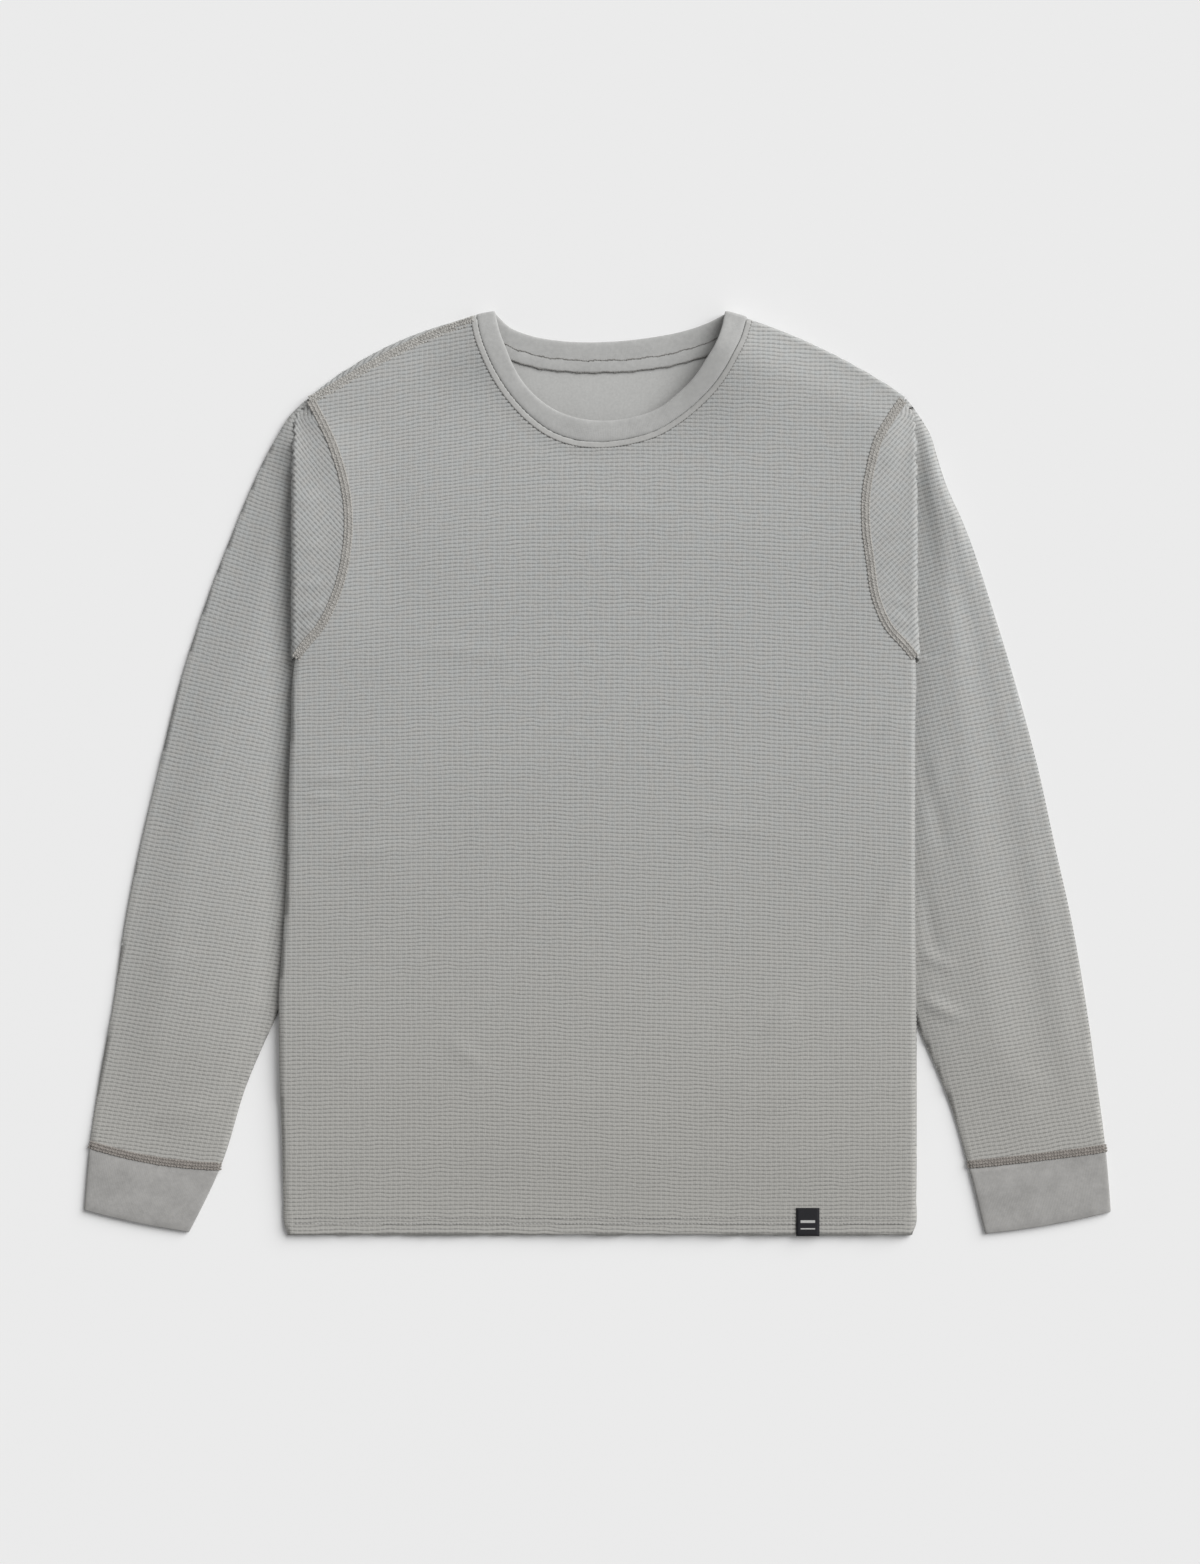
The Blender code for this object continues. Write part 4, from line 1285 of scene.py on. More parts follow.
def tone_of(base, *patterns):
    """A tone around base, changed by patterns: (pattern from 0 to 1, how much it counts)."""
    for pattern, weight in patterns:
        base = base + (pattern - 0.5) * weight
    return base


def object_places(nodes):
    return nodes.node("ShaderNodeTexCoord").outputs["Object"]


def knit_places(nodes):
    """The two knit coordinates of a point: wales or ribs, and courses."""
    knit = nodes.value("ShaderNodeUVMap", {"uv_map": "knit"})
    parts = nodes.node("ShaderNodeSeparateXYZ", None, {0: knit}).outputs
    return Value(nodes, parts[0]), Value(nodes, parts[1])


def noise(nodes, places, scale, detail=2.0, rough=0.5):
    inputs = {"Vector": places, "Scale": scale, "Detail": detail, "Roughness": rough}
    return nodes.value("ShaderNodeTexNoise", None, inputs)


def waffle_material(settings):
    """Waffle knit: short pits between the courses, darkened with painted shade like its valleys and
    the gutters between wales, yarn loops, and changes of tone.
    """
    nodes, principled = shader("waffle_cloth", 0.93, sheen=0.12)
    places, (wale, course) = object_places(nodes), knit_places(nodes)
    wander = noise(nodes, places, 160.0) - 0.5
    beside = (wale + wander * 0.25).fraction() - 0.5
    over = (course + wander * 0.12).fraction() - 0.5
    hollow = 1.0 - ((beside * 2.3) ** 2.0 + (over * 3.6) ** 2.0).between(0.25, 1.3)
    gutter = 1.0 - (beside * 2.6).absolute().between(0.2, 1.0)
    valley = 1.0 - (over * 3.4).absolute().between(0.15, 1.0)
    loops = wale.wave(18.85) * (0.4 + 0.6 * course.wave(12.57))
    fleck = noise(nodes, places, 1500.0, 3.0, 1.1)
    fuzz = noise(nodes, places, 620.0, 2.0, 0.6)
    tone = noise(nodes, places, 14.0, 3.0)
    uneven = noise(nodes, places, 90.0)
    # painted shade: the pits, the valleys between courses and the gutters between wales are
    # darkened in the colour, where shade falls in them
    dark = hollow * settings.pit_shade + valley * settings.valley_shade
    dark = (dark + gutter * settings.wale_shade) * (0.6 + 0.8 * uneven)
    light = tone_of(1.0, (fleck, 0.4), (fuzz, 0.42), (tone, 0.08), (loops, 0.1), (uneven, 0.12))

    # painted shade: the knit turns darker and warmer towards the hem, and the darkening stands in
    # for the light falling off towards the bottom
    height = nodes.node("ShaderNodeSeparateXYZ", None, {0: places}).outputs[1]
    above_hem = Value(nodes, height).between(-0.36, 0.16)
    patches = noise(nodes, places, 130.0).between(0.3, 0.7)
    warm, cool = opaque(settings.waffle_color, 1.02), opaque(settings.cool_color, 1.02)
    upper = blend(nodes, patches, warm, cool)
    whole = blend(nodes, above_hem, opaque(settings.hem_shaded_color), upper)
    color = blend(nodes, (light * (1.0 - dark)).clamped(), opaque((0.045, 0.045, 0.044)), whole)
    dress(nodes, principled, color, loops * 0.5 + fleck * 0.9 - hollow * 0.9, 0.55, 0.0002)


def jersey_material(settings):
    """The smooth inner side of the knit, with fine wales."""
    nodes, principled = shader("jersey_cloth", 0.92, sheen=0.1)
    places, (wale, _) = object_places(nodes), knit_places(nodes)
    ribs = wale.wave(25.13)
    fleck = noise(nodes, places, 1300.0, 3.0, 1.1)
    fuzz = noise(nodes, places, 560.0, 2.0, 0.6)
    tone = noise(nodes, places, 20.0)
    shade = tone_of(0.88, (ribs, 0.04), (fleck, 0.25), (fuzz, 0.25), (tone, 0.14))
    color = toned(nodes, settings.inner_color, shade)
    dress(nodes, principled, color, ribs * 0.6 + fleck * 0.6, 0.3)


def rib_material(name, color, cloud=0.2):
    """Fine rib of the neckband, tape and cuffs; cloud is how much its tone varies."""
    nodes, principled = shader(name, 0.9, sheen=0.12)
    places, (rib, course) = object_places(nodes), knit_places(nodes)
    ribs, loops = rib.wave(math.tau), course.wave(math.tau)
    fleck = noise(nodes, places, 1400.0, 3.0, 1.1)
    fuzz = noise(nodes, places, 330.0, 4.0, 0.7)
    tone = noise(nodes, places, 60.0, 3.0, 0.6)
    shade = tone_of(0.88, (ribs, 0.03), (loops, 0.02), (fleck, 0.26), (fuzz, 0.36), (tone, cloud))
    height = ribs * 0.45 + loops * 0.2 + fleck * 0.8
    dress(nodes, principled, toned(nodes, color, shade), height, 0.4, 0.00018)


def thread_material(name, color):
    nodes, principled = shader(name, 0.7, sheen=0.1)
    places = object_places(nodes)
    fleck = noise(nodes, places, 1700.0, 2.0, 0.6)
    shade = tone_of(0.82, (fleck, 0.6), (noise(nodes, places, 240.0), 0.6))
    dress(nodes, principled, toned(nodes, color, shade, 0.25), fleck, 0.5)


def label_material(settings):
    """Black woven label with plain pale stripes; the knit coordinates run 0 to 1 over its face."""
    nodes, principled = shader("label_weave", 0.65)
    places, (across, along) = object_places(nodes), knit_places(nodes)
    weave = ((across * 180.0).sine() * (along * 210.0).sine()) * 0.5 + 0.5
    fleck = noise(nodes, places, 1500.0, 2.0, 0.6)
    ground = toned(nodes, settings.label_color, tone_of(0.5, (weave, 0.5), (fleck, 0.5)), 0.6, 2.0)
    wide = 1.0 - (along - 0.62).absolute().between(0.030, 0.042)
    narrow = 1.0 - (along - 0.42).absolute().between(0.012, 0.022)
    middle = 1.0 - (across - 0.5).absolute().between(0.30, 0.32)
    stripes = (wide.most(narrow) * middle) * tone_of(0.75, (fleck, 0.5))
    color = blend(nodes, stripes, ground, opaque((0.62, 0.62, 0.6)))
    dress(nodes, principled, color, weave, 0.4)


# ================================================================ pieces


def finish(piece, slot, *replaces):
    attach(piece, "root")
    if replaces:
        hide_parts(*replaces)
    return piece


def knit_piece(name, parts, settings):
    part = join_panels(parts)
    attributes = (
        ("inner", "BOOLEAN", "FACE", "value", part["inner"]),
        ("relief", "FLOAT", "POINT", "value", part["relief"]),
        ("outward", "FLOAT_VECTOR", "POINT", "vector", part["outward"]),
    )
    piece = make_mesh(name, part["points"], part["triangles"], part["uv"], attributes=attributes)
    return through_tree(
        piece,
        "Knit relief",
        Relief=settings.relief,
        Unevenness=settings.unevenness,
        Outside="waffle_cloth",
        Inside="jersey_cloth",
    )


def tube_piece(name, rows, along, across, material, closed=True, ribs_along=False, flip=False):
    """A piece through rings of points. along and across are the rings' and their points' knit
    coordinates, and ribs_along says that the ribs are counted along."""
    points, triangles = skin(rows, closed)
    triangles = triangles[:, ::-1] if flip else triangles
    uv = np.stack([np.tile(across, len(rows)), np.repeat(along, len(across))], axis=1)
    uv = uv[:, ::-1] if ribs_along else uv
    return make_mesh(name, place_points(points), triangles, uv, material)


def strip_piece(name, left, right, material, thick=0.6, crown=0.35, across=7):
    """A thin crowned strip between two lines in space."""
    share = np.linspace(0.0, 1.0, across)
    crowned = thick * 0.1 + crown * (1.0 - (2.0 * share - 1.0) ** 2) ** 0.5
    flat = rows_between(left, right, share)
    top = flat + np.array([0.0, 0.0, 1.0]) * crowned[:, None]
    rows = np.concatenate([top, flat[:, ::-1] - (0.0, 0.0, thick)], axis=1)
    around = np.linspace(0.0, 1.0, rows.shape[1])
    return tube_piece(name, rows, lengths(left), around, material, False, flip=True)


def stitch_lines(name, lines, thread, **settings):
    """Stitches along lines in space."""
    edges, start = [], 0
    for line in lines:
        edges += [(start + k, start + k + 1) for k in range(len(line) - 1)]
        start += len(line)
    data = bpy.data.meshes.new(name)
    data.from_pydata(place_points(np.concatenate(lines)).tolist(), edges, [])
    return through_tree(make_object(name, data), "Stitches", Thread=thread, **settings)


def join(name, pieces):
    """One object from several, which keep their materials."""
    first = pieces[0]
    with bpy.context.temp_override(
        active_object=first, object=first, selected_editable_objects=pieces, selected_objects=pieces
    ):
        bpy.ops.object.join()
    first.name = first.data.name = name
    return first


def flatlock(name, line, half, heights, spacing, thread="seam_thread", bed="seam_bed"):
    """A flatlock seam along a line: a bed of thread, cross threads and rows of needle thread.
    heights are those of its left and right edges."""
    line = resample(line)
    side = sideways(line) * half
    left, right = raised(line + side, heights[0]), raised(line - side, heights[1])
    bed = strip_piece(name + "_bed", left, right, bed, 0.7, 0.25)
    cross = stitch_lines(
        name + "_cross",
        [(left + right) / 2.0 + (0.0, 0.0, CROSS_LIFT)],
        thread,
        Spacing=spacing,
        Length=half * CROSS_REACH * MM,
        **CROSS_THREAD,
    )
    rows = [left * (1 - share) + right * share + (0.0, 0.0, high) for share, high in NEEDLE_ROWS]
    needle = stitch_lines(name + "_needle", rows, thread, **NEEDLE_THREAD)
    return finish(join(name, [bed, cross, needle]), "smooth_rib")


def cuff_ring(sleeve, reach, offset):
    """One ring round a cuff, offset outward from the middle of its cloth."""
    inner = reach * underarm_turn(sleeve, reach) + SLEEVE_INSET
    outer = reach * outer_turn(sleeve, reach) - SLEEVE_INSET
    half = HALF_PITCH + CUFF_LOFT + offset
    corner = CUFF_ROUND * half
    share = np.linspace(0.0, 1.0, CUFF_ACROSS)
    across = inner + corner + (outer - inner - 2.0 * corner) * share
    puff = CUFF_PUFF * np.sin(np.pi * share) ** CUFF_PUFF_SHAPE
    puff = puff * rise(sleeve.cuff_end - reach, *CUFF_PUFF_ENDS)
    puff = puff * rise(reach - sleeve.cuff_seam - CUFF_GAP, *CUFF_PUFF_STARTS)
    bend = np.linspace(math.pi / 2, -math.pi / 2, TURN_STEPS)[1:-1]
    out, swing = (corner + offset) * np.cos(bend) - corner, half * np.sin(bend)
    across = np.concatenate([across, outer + out, across[::-1], inner - out])
    height = np.concatenate([half + puff, swing, np.full(CUFF_ACROSS, -half), -swing])
    x, up = from_polar(sleeve, reach, across / reach)
    return raised(np.stack([x, up], axis=1), np.maximum(SLEEVE_BASE + height, LEAST_HEIGHT))


def band_edges():
    """The neckband's seam edge and opening edge, all the way round, in space."""
    lines = []
    for seam, opening, way in ((FRONT_SEAM, FRONT_OPENING, 1), (BACK_SEAM, BACK_OPENING, -1)):
        seam, opening = (smooth_line(points, BAND_STEP)[::way] for points in (seam, opening))
        lines.append((seam, resample(opening, count=len(seam))))
    front, back = lines
    radius = (FRONT_LEVEL + BAND_STANDS - BAND_BACK_LEVEL) / 2.0

    def at_level(seam, opening, level):
        return [((*seam, level), (*opening, level))]

    def fold(seam, opening, side, front_end):
        """Carries the band over its fold at a neck point."""
        away = (opening - seam) / np.linalg.norm(opening - seam)
        away = np.array([away[1], -away[0]]) * side
        half_height = (float(front_level(*front_end)) + BAND_STANDS - BAND_BACK_LEVEL) / 2.0
        pairs = []
        for angle in np.linspace(0.0, math.pi, BAND_TURN_STEPS + 1)[1:-1]:
            shift = away * radius * math.sin(angle)
            level = BAND_BACK_LEVEL + half_height * (1.0 + side * math.cos(angle))
            pairs += at_level(seam + shift, opening + shift, level)
        return pairs

    pairs = []
    for seam, opening in zip(*front):
        pairs += at_level(seam, opening, float(front_level(*seam)) + BAND_STANDS)
    pairs += fold(front[0][-1], front[1][-1], 1.0, front[0][-1])
    for seam, opening in zip(*back):
        pairs += at_level(seam, opening, BAND_BACK_LEVEL)
    pairs += fold(back[0][-1], back[1][-1], -1.0, front[0][0])
    return (np.array(edge) for edge in zip(*pairs))


# ---------------------------------------------------------------- settings


def number(name, description, default, high, low=0.0, **kind):
    return bpy.props.FloatProperty(
        name=name, description=description, default=default, min=low, max=high, **kind
    )


def length(name, description, default, low, high):
    return number(name, description, default, high, low, unit="LENGTH")


def share(name, description, default):
    return number(name, description, default, 1.0, subtype="FACTOR")


def color(name, description, *default):
    return bpy.props.FloatVectorProperty(
        name=name, description=description, default=default, min=0.0, max=1.0, subtype="COLOR"
    )


class ClothSettings(bpy.types.PropertyGroup):
    wall: length(
        "Wall", "Thickness of one layer of knit, without its relief", 0.0011, 0.0004, 0.0015
    )
    relief: length(
        "Relief", "Height of the ridges and depth of the pits of the waffle", 0.00045, 0.0, 0.0008
    )
    unevenness: share("Unevenness", "How much the relief varies from patch to patch", 0.45)
    # painted shade: the next three darken the knit's colour in its pits, the valleys between
    # courses and the gutters between wales
    pit_shade: share("Pit shade", "How much darker the pits of the waffle are", 0.1)
    valley_shade: share("Valley shade", "How much darker the valleys between courses are", 0.26)
    wale_shade: share("Wale shade", "How much darker the cloth is between two wales", 0.045)
    waffle_color: color("Waffle colour", "Colour of the waffle knit", 0.455, 0.453, 0.440)
    cool_color: color(
        "Cool waffle colour", "Colour of small patches of the waffle knit", 0.448, 0.457, 0.452
    )
    # painted shade: a darker, warmer colour towards the hem, where the light falls off
    hem_shaded_color: color(
        "Hem waffle colour", "Colour of the waffle knit towards the hem", 0.436, 0.428, 0.404
    )
    rib_color: color("Rib colour", "Colour of the neckband and the neck tape", 0.475, 0.475, 0.465)
    inner_color: color(
        "Inner colour", "Colour of the smooth inner side of the knit", 0.53, 0.53, 0.518
    )
    cuff_color: color("Cuff colour", "Colour of the cuffs", 0.388, 0.381, 0.369)
    label_color: color("Label colour", "Ground colour of the hem label", 0.012, 0.012, 0.014)


class StitchSettings(bpy.types.PropertyGroup):
    spacing: length(
        "Cover spacing",
        "Distance between the cross threads of a flatlock seam",
        0.0021,
        0.0006,
        0.005,
    )
    seam_color: color("Seam thread", "Colour of the flatlock thread", 0.44, 0.425, 0.398)
    bed_color: color("Seam bed", "Colour between the rows of a flatlock seam", 0.41, 0.398, 0.375)
    cuff_thread_color: color(
        "Cuff thread", "Colour of the flatlock thread over the cuff seams", 0.30, 0.274, 0.25
    )
    shoulder_thread_color: color(
        "Shoulder thread", "Colour of the flatlock thread over the shoulder", 0.50, 0.488, 0.46
    )
    # dark thread of the stitches beside the neck seam and along the tape's edge towards the neck,
    # and painted shadow as a dark row along the tape's edge towards the hem
    stitch_and_shadow_color: color(
        "Sunk thread", "Colour of the thread sunk in the edges of the neck tape", 0.27, 0.262, 0.25
    )
    plain_color: color("Plain thread", "Colour of the hem's stitching thread", 0.42, 0.415, 0.40)


class StageSettings(bpy.types.PropertyGroup):
    floor_color: color("Floor colour", "Colour of the plain floor", 0.885, 0.885, 0.885)
    key_power: number("Key light", "Strength of the soft light from the upper right", 3.5, 20.0)
    key_spread: number(
        "Key spread",
        "How wide the soft light looks from the garment",
        math.radians(50.0),
        math.pi,
        subtype="ANGLE",
    )
    sky_strength: number(
        "Surrounding light", "Strength of the even light from all round", 0.32, 10.0
    )


# ---------------------------------------------------------------- operators


class ThermalOperator:
    bl_options = {"REGISTER", "UNDO"}


class THERMAL_OT_stage(ThermalOperator, bpy.types.Operator):
    """Makes the pale floor, the soft lights and the camera straight above."""

    bl_idname = "thermal.stage"
    bl_label = "Stage"

    def execute(self, context):
        scene, settings = context.scene, context.scene.thermal_stage
        scene.view_settings.view_transform = "Standard"
        nodes, principled = shader("floor_paper", 0.9)
        tone = noise(nodes, object_places(nodes), 2.0)
        paper = blend(nodes, tone, opaque(settings.floor_color, 0.99), opaque(settings.floor_color))
        nodes.feed(principled.inputs["Base Color"], paper)
        corners = np.array([(-1, -1, 0), (1, -1, 0), (1, 1, 0), (-1, 1, 0)]) * FLOOR_HALF
        corners += (0, 0, FLOOR_LEVEL)
        faces = np.array([(0, 1, 2), (0, 2, 3)])
        floor = make_mesh("floor", corners, faces, material="floor_paper")

        scene.world = bpy.data.worlds.new("soft_room")
        scene.world.use_nodes = True
        sky = scene.world.node_tree.nodes["Background"]
        sky.inputs["Color"].default_value = (1.0, 1.0, 1.0, 1.0)
        sky.inputs["Strength"].default_value = settings.sky_strength

        lamp = bpy.data.lights.new("key", "SUN")
        lamp.angle = settings.key_spread
        lamp.energy = settings.key_power
        key = make_object("key", lamp)
        key.location = KEY_FROM
        key.rotation_euler = (-key.location).to_track_quat("-Z", "Y").to_euler()

        view = bpy.data.cameras.new("camera")
        view.lens, view.sensor_width = LENS, SENSOR
        view.clip_start, view.clip_end = CLIP
        scene.camera = make_object("camera", view)
        scene.camera.location = CAMERA_AT
        return {"FINISHED"}


class THERMAL_OT_finishes(ThermalOperator, bpy.types.Operator):
    """Makes the materials and the stitch and relief trees that the pieces use."""

    bl_idname = "thermal.finishes"
    bl_label = "Materials and trees"

    def execute(self, context):
        cloth, stitches = context.scene.thermal_cloth, context.scene.thermal_stitches
        waffle_material(cloth)
        jersey_material(cloth)
        rib_material("rib_cloth", cloth.rib_color)
        rib_material("cuff_cloth", cloth.cuff_color, cloud=0.5)
        rib_material("ridge_cloth", cloth.waffle_color)
        for name, thread in (
            ("seam_thread", stitches.seam_color),
            ("seam_bed", stitches.bed_color),
            ("cuff_thread", stitches.cuff_thread_color),
            ("shoulder_thread", stitches.shoulder_thread_color),
            ("plain_thread", stitches.plain_color),
            ("groove_thread", stitches.stitch_and_shadow_color),
            ("cuff_bed", [level * 0.9 for level in stitches.cuff_thread_color]),
        ):
            thread_material(name, thread)
        label_material(cloth)
        relief_tree()
        stitch_tree()
        return {"FINISHED"}


class THERMAL_OT_body(ThermalOperator, bpy.types.Operator):
    """Knits the front and the back and lays them over the folded sleeves."""

    bl_idname = "thermal.body"
    bl_label = "Front and back"

    def execute(self, context):
        settings = context.scene.thermal_cloth
        for name, front, leans, form in (
            ("top_front", True, FRONT_LEANS, front_form),
            ("top_back", False, BACK_LEANS, back_form),
        ):
            outline = body_outline(front)
            side = 1.0 if front else -1.0
            part = knit_panel(outline, leans, 0.0, form, settings.wall / MM, side)
            piece = knit_piece(name, [part], settings)
            finish(piece, "waffle_knit", "front_panel" if front else "back_panel")
        return {"FINISHED"}


class THERMAL_OT_sleeves(ThermalOperator, bpy.types.Operator):
    """Knits the two sleeves and folds each down along its pleat."""

    bl_idname = "thermal.sleeves"
    bl_label = "Sleeves"

    def execute(self, context):
        settings = context.scene.thermal_cloth
        for sleeve in SLEEVES:
            outline = sleeve_outline(sleeve)
            layers = []
            for layer in (1.0, -1.0):
                form = sleeve_form(sleeve, layer)
                wall = settings.wall / MM
                layers.append(knit_panel(outline, sleeve.leans, sleeve.grain, form, wall, layer))
            piece = knit_piece("top_sleeve_" + sleeve.name, layers, settings)
            finish(piece, "waffle_knit", "sleeve_" + sleeve.name)
        return {"FINISHED"}


class THERMAL_OT_cuffs(ThermalOperator, bpy.types.Operator):
    """Makes the two folded rib cuffs."""

    bl_idname = "thermal.cuffs"
    bl_label = "Cuffs"

    def execute(self, context):
        half = CUFF_WALL / 2.0
        for sleeve in SLEEVES:
            last = sleeve.cuff_end
            outside = [
                (reach, half, reach)
                for reach in np.linspace(sleeve.cuff_seam + CUFF_GAP, last - CUFF_TURN, CUFF_ROWS)
            ]
            turn = [
                (last - CUFF_TURN * (1.0 - math.sin(angle)), half * math.cos(angle), last)
                for angle in np.linspace(0.0, math.pi, TURN_STEPS)[1:-1]
            ]
            inside_out = [(reach, -half, reach) for reach, _, _ in outside[::-1]]
            rings = outside + turn + inside_out
            rows = np.array([cuff_ring(sleeve, reach, offset) for reach, offset, _ in rings])
            span = last * (outer_turn(sleeve, last) - underarm_turn(sleeve, last))
            ribs = np.linspace(0.0, 2.0 * span / RIB_PITCH, rows.shape[1])
            courses = [course for _, _, course in rings]
            name = "top_cuff_" + sleeve.name
            piece = tube_piece(name, rows, courses, ribs, "cuff_cloth", flip=sleeve.side > 0)
            finish(piece, "smooth_rib", "cuff_" + sleeve.name)
        return {"FINISHED"}


class THERMAL_OT_neck(ThermalOperator, bpy.types.Operator):
    """Makes the doubled neckband and the tape over the back neck seam."""

    bl_idname = "thermal.neck"
    bl_label = "Neckband and tape"

    def execute(self, context):
        seam, opening = band_edges()
        share = (1.0 - np.cos(np.linspace(0.0, math.pi, BAND_AROUND))) / 2.0
        middle = rows_between(seam, opening, share)
        along = np.roll(middle, -1, axis=0) - np.roll(middle, 1, axis=0)
        normal = np.cross(along, np.broadcast_to((opening - seam)[:, None], middle.shape))
        normal /= np.linalg.norm(normal, axis=2, keepdims=True)
        thick = BAND_HALF * (1.0 - np.abs(2.0 * share - 1.0) ** 5.0) ** 0.5
        upper, lower = middle + normal * thick[:, None], middle - normal * thick[:, None]
        rows = np.concatenate([upper, lower[:, 1:-1][:, ::-1]], axis=1)
        ribs = lengths(seam) * BAND_DRAWN / RIB_PITCH
        courses = np.linspace(0.0, BAND_COURSES, rows.shape[1])
        piece = tube_piece(
            "top_neckband", rows, ribs, courses, "rib_cloth", ribs_along=True, flip=True
        )
        finish(piece, "smooth_rib", "neckband")

        line = back_seam_between(*TAPE_ENDS, step=EDGE_STEP)
        side, level = sideways(line) * TAPE_HALF, BACK_LEVEL + TAPE_RISE
        left, right = raised(line + side, level), raised(line - side, level)
        tape = strip_piece("top_neck_tape", left, right, "rib_cloth", 0.3, 0.4, 9)
        finish(tape, "smooth_rib", "neck_tape")
        return {"FINISHED"}


def back_seam_between(left, right, step):
    seam = smooth_line(BACK_SEAM, step)
    return seam[(seam[:, 0] > left) & (seam[:, 0] < right)]


class THERMAL_OT_label(ThermalOperator, bpy.types.Operator):
    """Makes the woven hem label."""

    bl_idname = "thermal.label"
    bl_label = "Hem label"

    def execute(self, context):
        middle = np.array([(LABEL_LEFT + LABEL_WIDTH / 2.0, LABEL_READ_UP)])
        under = front_top(middle)[0] + LABEL_STANDS
        down = np.linspace(0.0, LABEL_HIGH - LABEL_TURN_STARTS, LABEL_DOWN)
        angle = np.linspace(0.0, math.pi / 2, TURN_STEPS)[1:]
        up = [*(LABEL_HIGH - down), *(LABEL_TURN_STARTS - LABEL_TURN * np.sin(angle))]
        height = [*(under + 0.0 * down), *(under - LABEL_TURN * (1.0 - np.cos(angle)))]
        path = np.stack([up, height], axis=1)
        ends = np.concatenate([path[:1], path, path[-1:]])
        slope = ends[2:] - ends[:-2]
        slope /= np.linalg.norm(slope, axis=1, keepdims=True)
        normal = np.stack([slope[:, 1], -slope[:, 0]], axis=1) * LABEL_HALF
        xs = np.linspace(LABEL_LEFT, LABEL_LEFT + LABEL_WIDTH, LABEL_ACROSS)
        rows = [
            [(x, *(spot + off)) for x in xs] + [(x, *(spot - off)) for x in xs[::-1]]
            for spot, off in zip(path, normal)
        ]
        face = np.linspace(0.0, 1.0, LABEL_ACROSS)
        around = np.concatenate([face, face[::-1]])
        along = 1.0 - np.linspace(0.0, 1.0, len(rows))
        piece = tube_piece("top_hem_label", np.array(rows), along, around, "label_weave", False)
        finish(piece, "woven_label", "hem_label")
        return {"FINISHED"}


class THERMAL_OT_seams(ThermalOperator, bpy.types.Operator):
    """Sews the flatlock seams of armholes, left shoulder and cuffs, and the other stitching."""

    bl_idname = "thermal.seams"
    bl_label = "Seams and stitches"

    def execute(self, context):
        spacing = context.scene.thermal_stitches.spacing
        wall = context.scene.thermal_cloth.wall / MM
        for sleeve in SLEEVES:
            line = resample(armhole(sleeve))
            line = line[polar(sleeve, *line.T)[0] > SHOULDER_REACH]
            last = line[-1] + (line[-1] - line[-2]) * ARMHOLE_RUNS_ON
            line = resample(np.vstack([line, last]))
            front = front_top(line) + ARMHOLE_LIFT
            cap = front_level(*line.T) + CAP_OVER + wall / 2.0 + ARMHOLE_LIFT
            # the line runs down, so its left side is the garment's right
            heights = (cap, front) if sleeve.side > 0 else (front, cap)
            flatlock("armhole_seam_" + sleeve.name, line, FLATLOCK_HALF, heights, spacing)

        line = shoulder_points(LEFT, lambda share: -roll_width(share), SEAM_STEP)
        line = resample(line[:-2])
        heights = [front_top(line) + SHOULDER_LIFT] * 2
        flatlock("shoulder_seam_left", line, FLATLOCK_HALF, heights, spacing, "shoulder_thread")

        for sleeve in SLEEVES:
            line = cuff_seam_line(sleeve)
            steps = np.arange(len(line))
            from_end = np.minimum(steps, steps[::-1]) * SEAM_STEP
            height = SLEEVE_BASE + HALF_PITCH + CUFF_SEAM_LIFT
            heights = [height - CUFF_SEAM_DROP * fall(from_end, *CUFF_SEAM_DROPS)] * 2
            name = "cuff_seam_" + sleeve.name
            flatlock(name, line, CUFF_SEAM_HALF, heights, spacing, "cuff_thread", "cuff_bed")

        seam = smooth_line(FRONT_SEAM, SEAM_STEP)
        line = seam[1:-1] + sideways(seam[1:-1]) * NECK_RIDGE[1]
        line = raised(line, front_top(line) + NECK_LIFT)
        topstitch = stitch_lines("neck_topstitch", [line], "groove_thread", **NECK_THREAD)
        # the ridge runs on half a step past both ends
        seam[0] += (seam[0] - seam[1]) * 0.5
        seam[-1] += (seam[-1] - seam[-2]) * 0.5
        edges = [seam + sideways(seam) * off for off in NECK_RIDGE]
        edges = [raised(edge, front_top(edge) + RIDGE_LIFT) for edge in edges]
        ridge = strip_piece("neck_ridge", *edges, "ridge_cloth", 0.35, 0.15)
        finish(join("neck_topstitch", [topstitch, ridge]), "smooth_rib")

        x = np.arange(*HEM_ENDS, SEAM_STEP)
        rows = [np.stack([x, np.full(len(x), up)], axis=1) for up in HEM_ROWS]
        rows = [raised(row, front_top(row) + HEM_LIFT) for row in rows]
        finish(stitch_lines("hem_coverstitch", rows, "plain_thread", **HEM_THREAD), "smooth_rib")

        # the row towards the neck is stitching; the row towards the hem is painted shadow, a dark
        # thread line where the tape's edge throws a thin shadow
        seam = back_seam_between(TAPE_ENDS[0] + SEAM_STEP, TAPE_ENDS[1] - SEAM_STEP, SEAM_STEP)
        steps = np.arange(len(seam)) * SEAM_STEP
        rows = []
        for row in TAPE_ROWS:
            waves = [far * np.sin(steps / run + turn * row) for far, run, turn in TAPE_WANDER]
            side = sideways(seam) * (row + sum(waves))[:, None]
            rows.append(raised(seam + side, BACK_LEVEL + TAPE_LIFT))
        finish(stitch_lines("tape_stitches", rows, "groove_thread", **TAPE_THREAD), "smooth_rib")
        return {"FINISHED"}


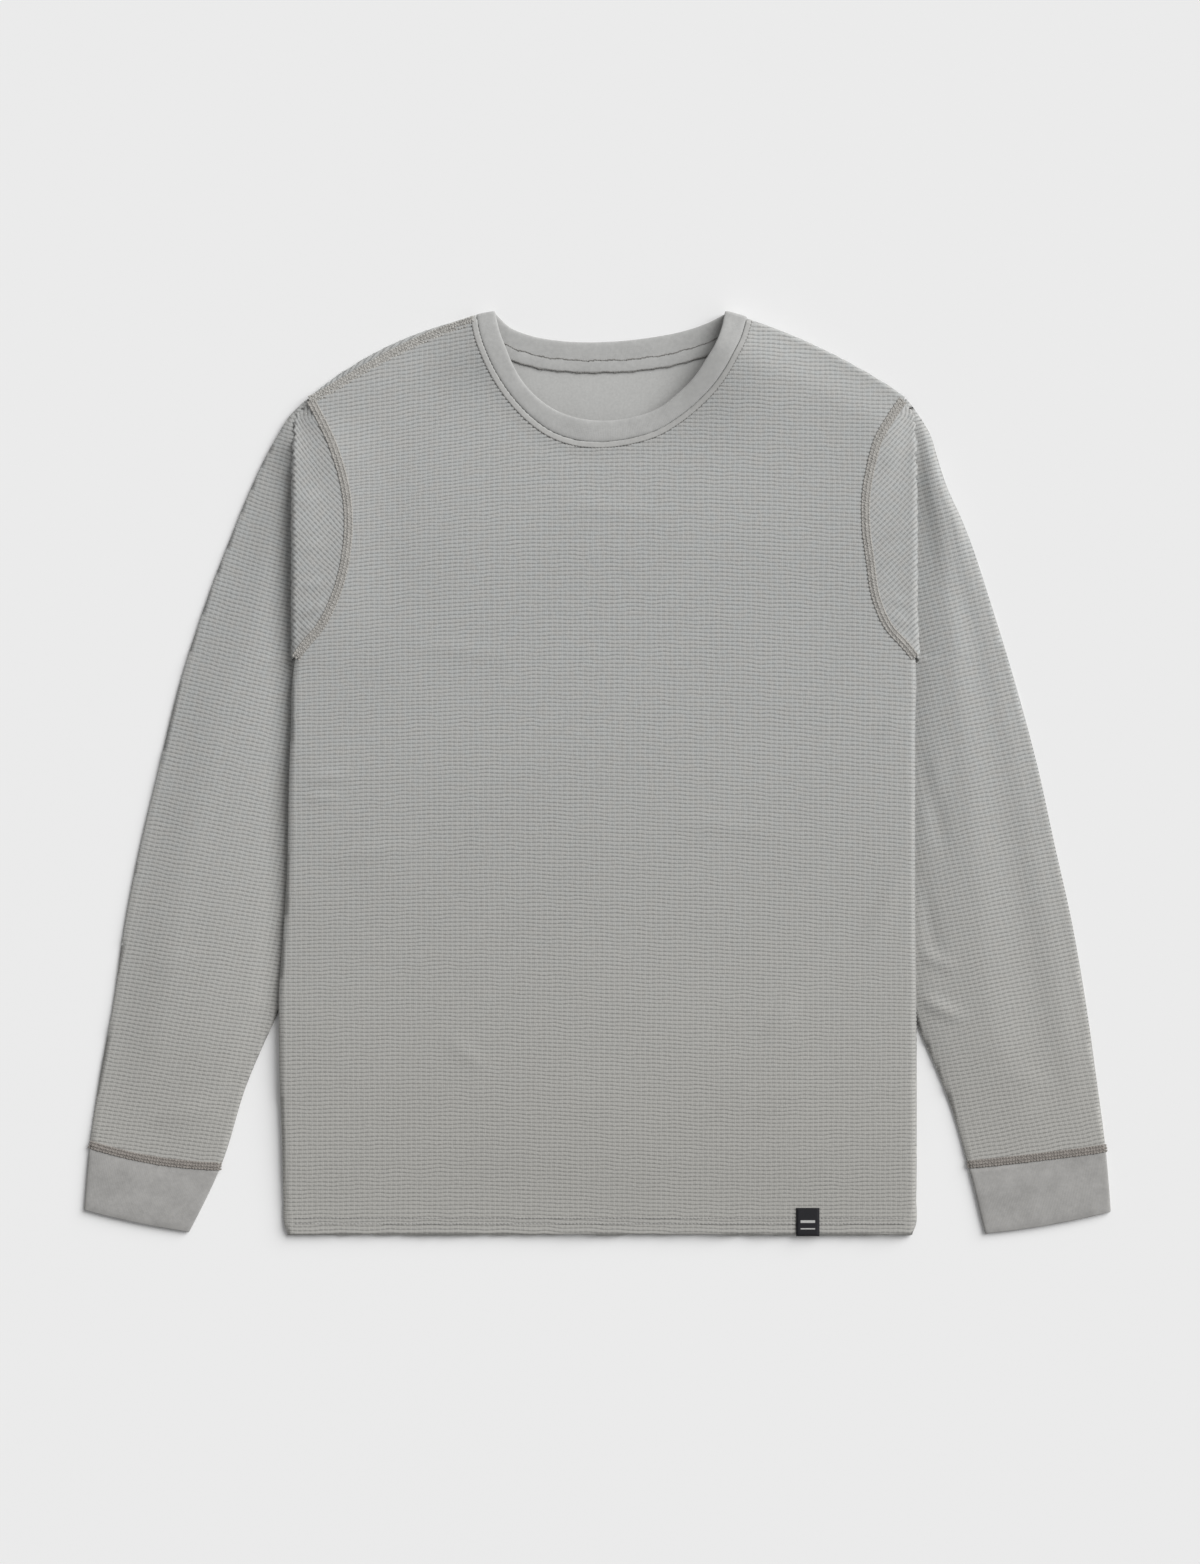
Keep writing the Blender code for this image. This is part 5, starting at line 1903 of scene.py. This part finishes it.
def cuff_seam_line(sleeve):
    """Points along the seam between sleeve and cuff, from the garment's left to its right."""
    reach = sleeve.cuff_seam
    inner = reach * underarm_turn(sleeve, reach) + CUFF_SEAM_INNER
    outer = reach * outer_turn(sleeve, reach) + CUFF_SEAM_OUTER
    share = np.linspace(0.0, 1.0, CUFF_SEAM_POINTS)
    across = np.linspace(inner, outer, CUFF_SEAM_POINTS)
    sag = sleeve.seam_sag * np.sin(np.pi * share) + sleeve.seam_tilt * (share - 0.5)
    line = np.stack(from_polar(sleeve, reach + sag, across / reach), axis=1)
    return resample(line[:: sleeve.side])


class THERMAL_PT_panel(bpy.types.Panel):
    """Settings and steps of the thermal top."""

    bl_label = "Thermal top"
    bl_idname = "THERMAL_PT_panel"
    bl_space_type = "VIEW_3D"
    bl_region_type = "UI"
    bl_category = "Thermal top"

    def draw(self, context):
        for name, _ in SETTINGS:
            box, group = self.layout.box(), getattr(context.scene, name)
            for setting in group.bl_rna.properties.keys():
                if setting not in ("rna_type", "name"):
                    box.prop(group, setting)
        for step in STEPS:
            self.layout.operator(step.bl_idname)


STEPS = (
    THERMAL_OT_stage,
    THERMAL_OT_finishes,
    THERMAL_OT_sleeves,
    THERMAL_OT_cuffs,
    THERMAL_OT_body,
    THERMAL_OT_neck,
    THERMAL_OT_label,
    THERMAL_OT_seams,
)
SETTINGS = (
    ("thermal_cloth", ClothSettings),
    ("thermal_stitches", StitchSettings),
    ("thermal_stage", StageSettings),
)


def register():
    for name, group in SETTINGS:
        bpy.utils.register_class(group)
        setattr(bpy.types.Scene, name, bpy.props.PointerProperty(type=group))
    for step in (*STEPS, THERMAL_PT_panel):
        bpy.utils.register_class(step)


def unregister():
    for step in (THERMAL_PT_panel, *reversed(STEPS)):
        bpy.utils.unregister_class(step)
    for name, group in reversed(SETTINGS):
        delattr(bpy.types.Scene, name)
        bpy.utils.unregister_class(group)


def main():
    register()
    for step in STEPS:
        group, name = step.bl_idname.split(".")
        getattr(getattr(bpy.ops, group), name)()


if __name__ == "__main__":
    main()
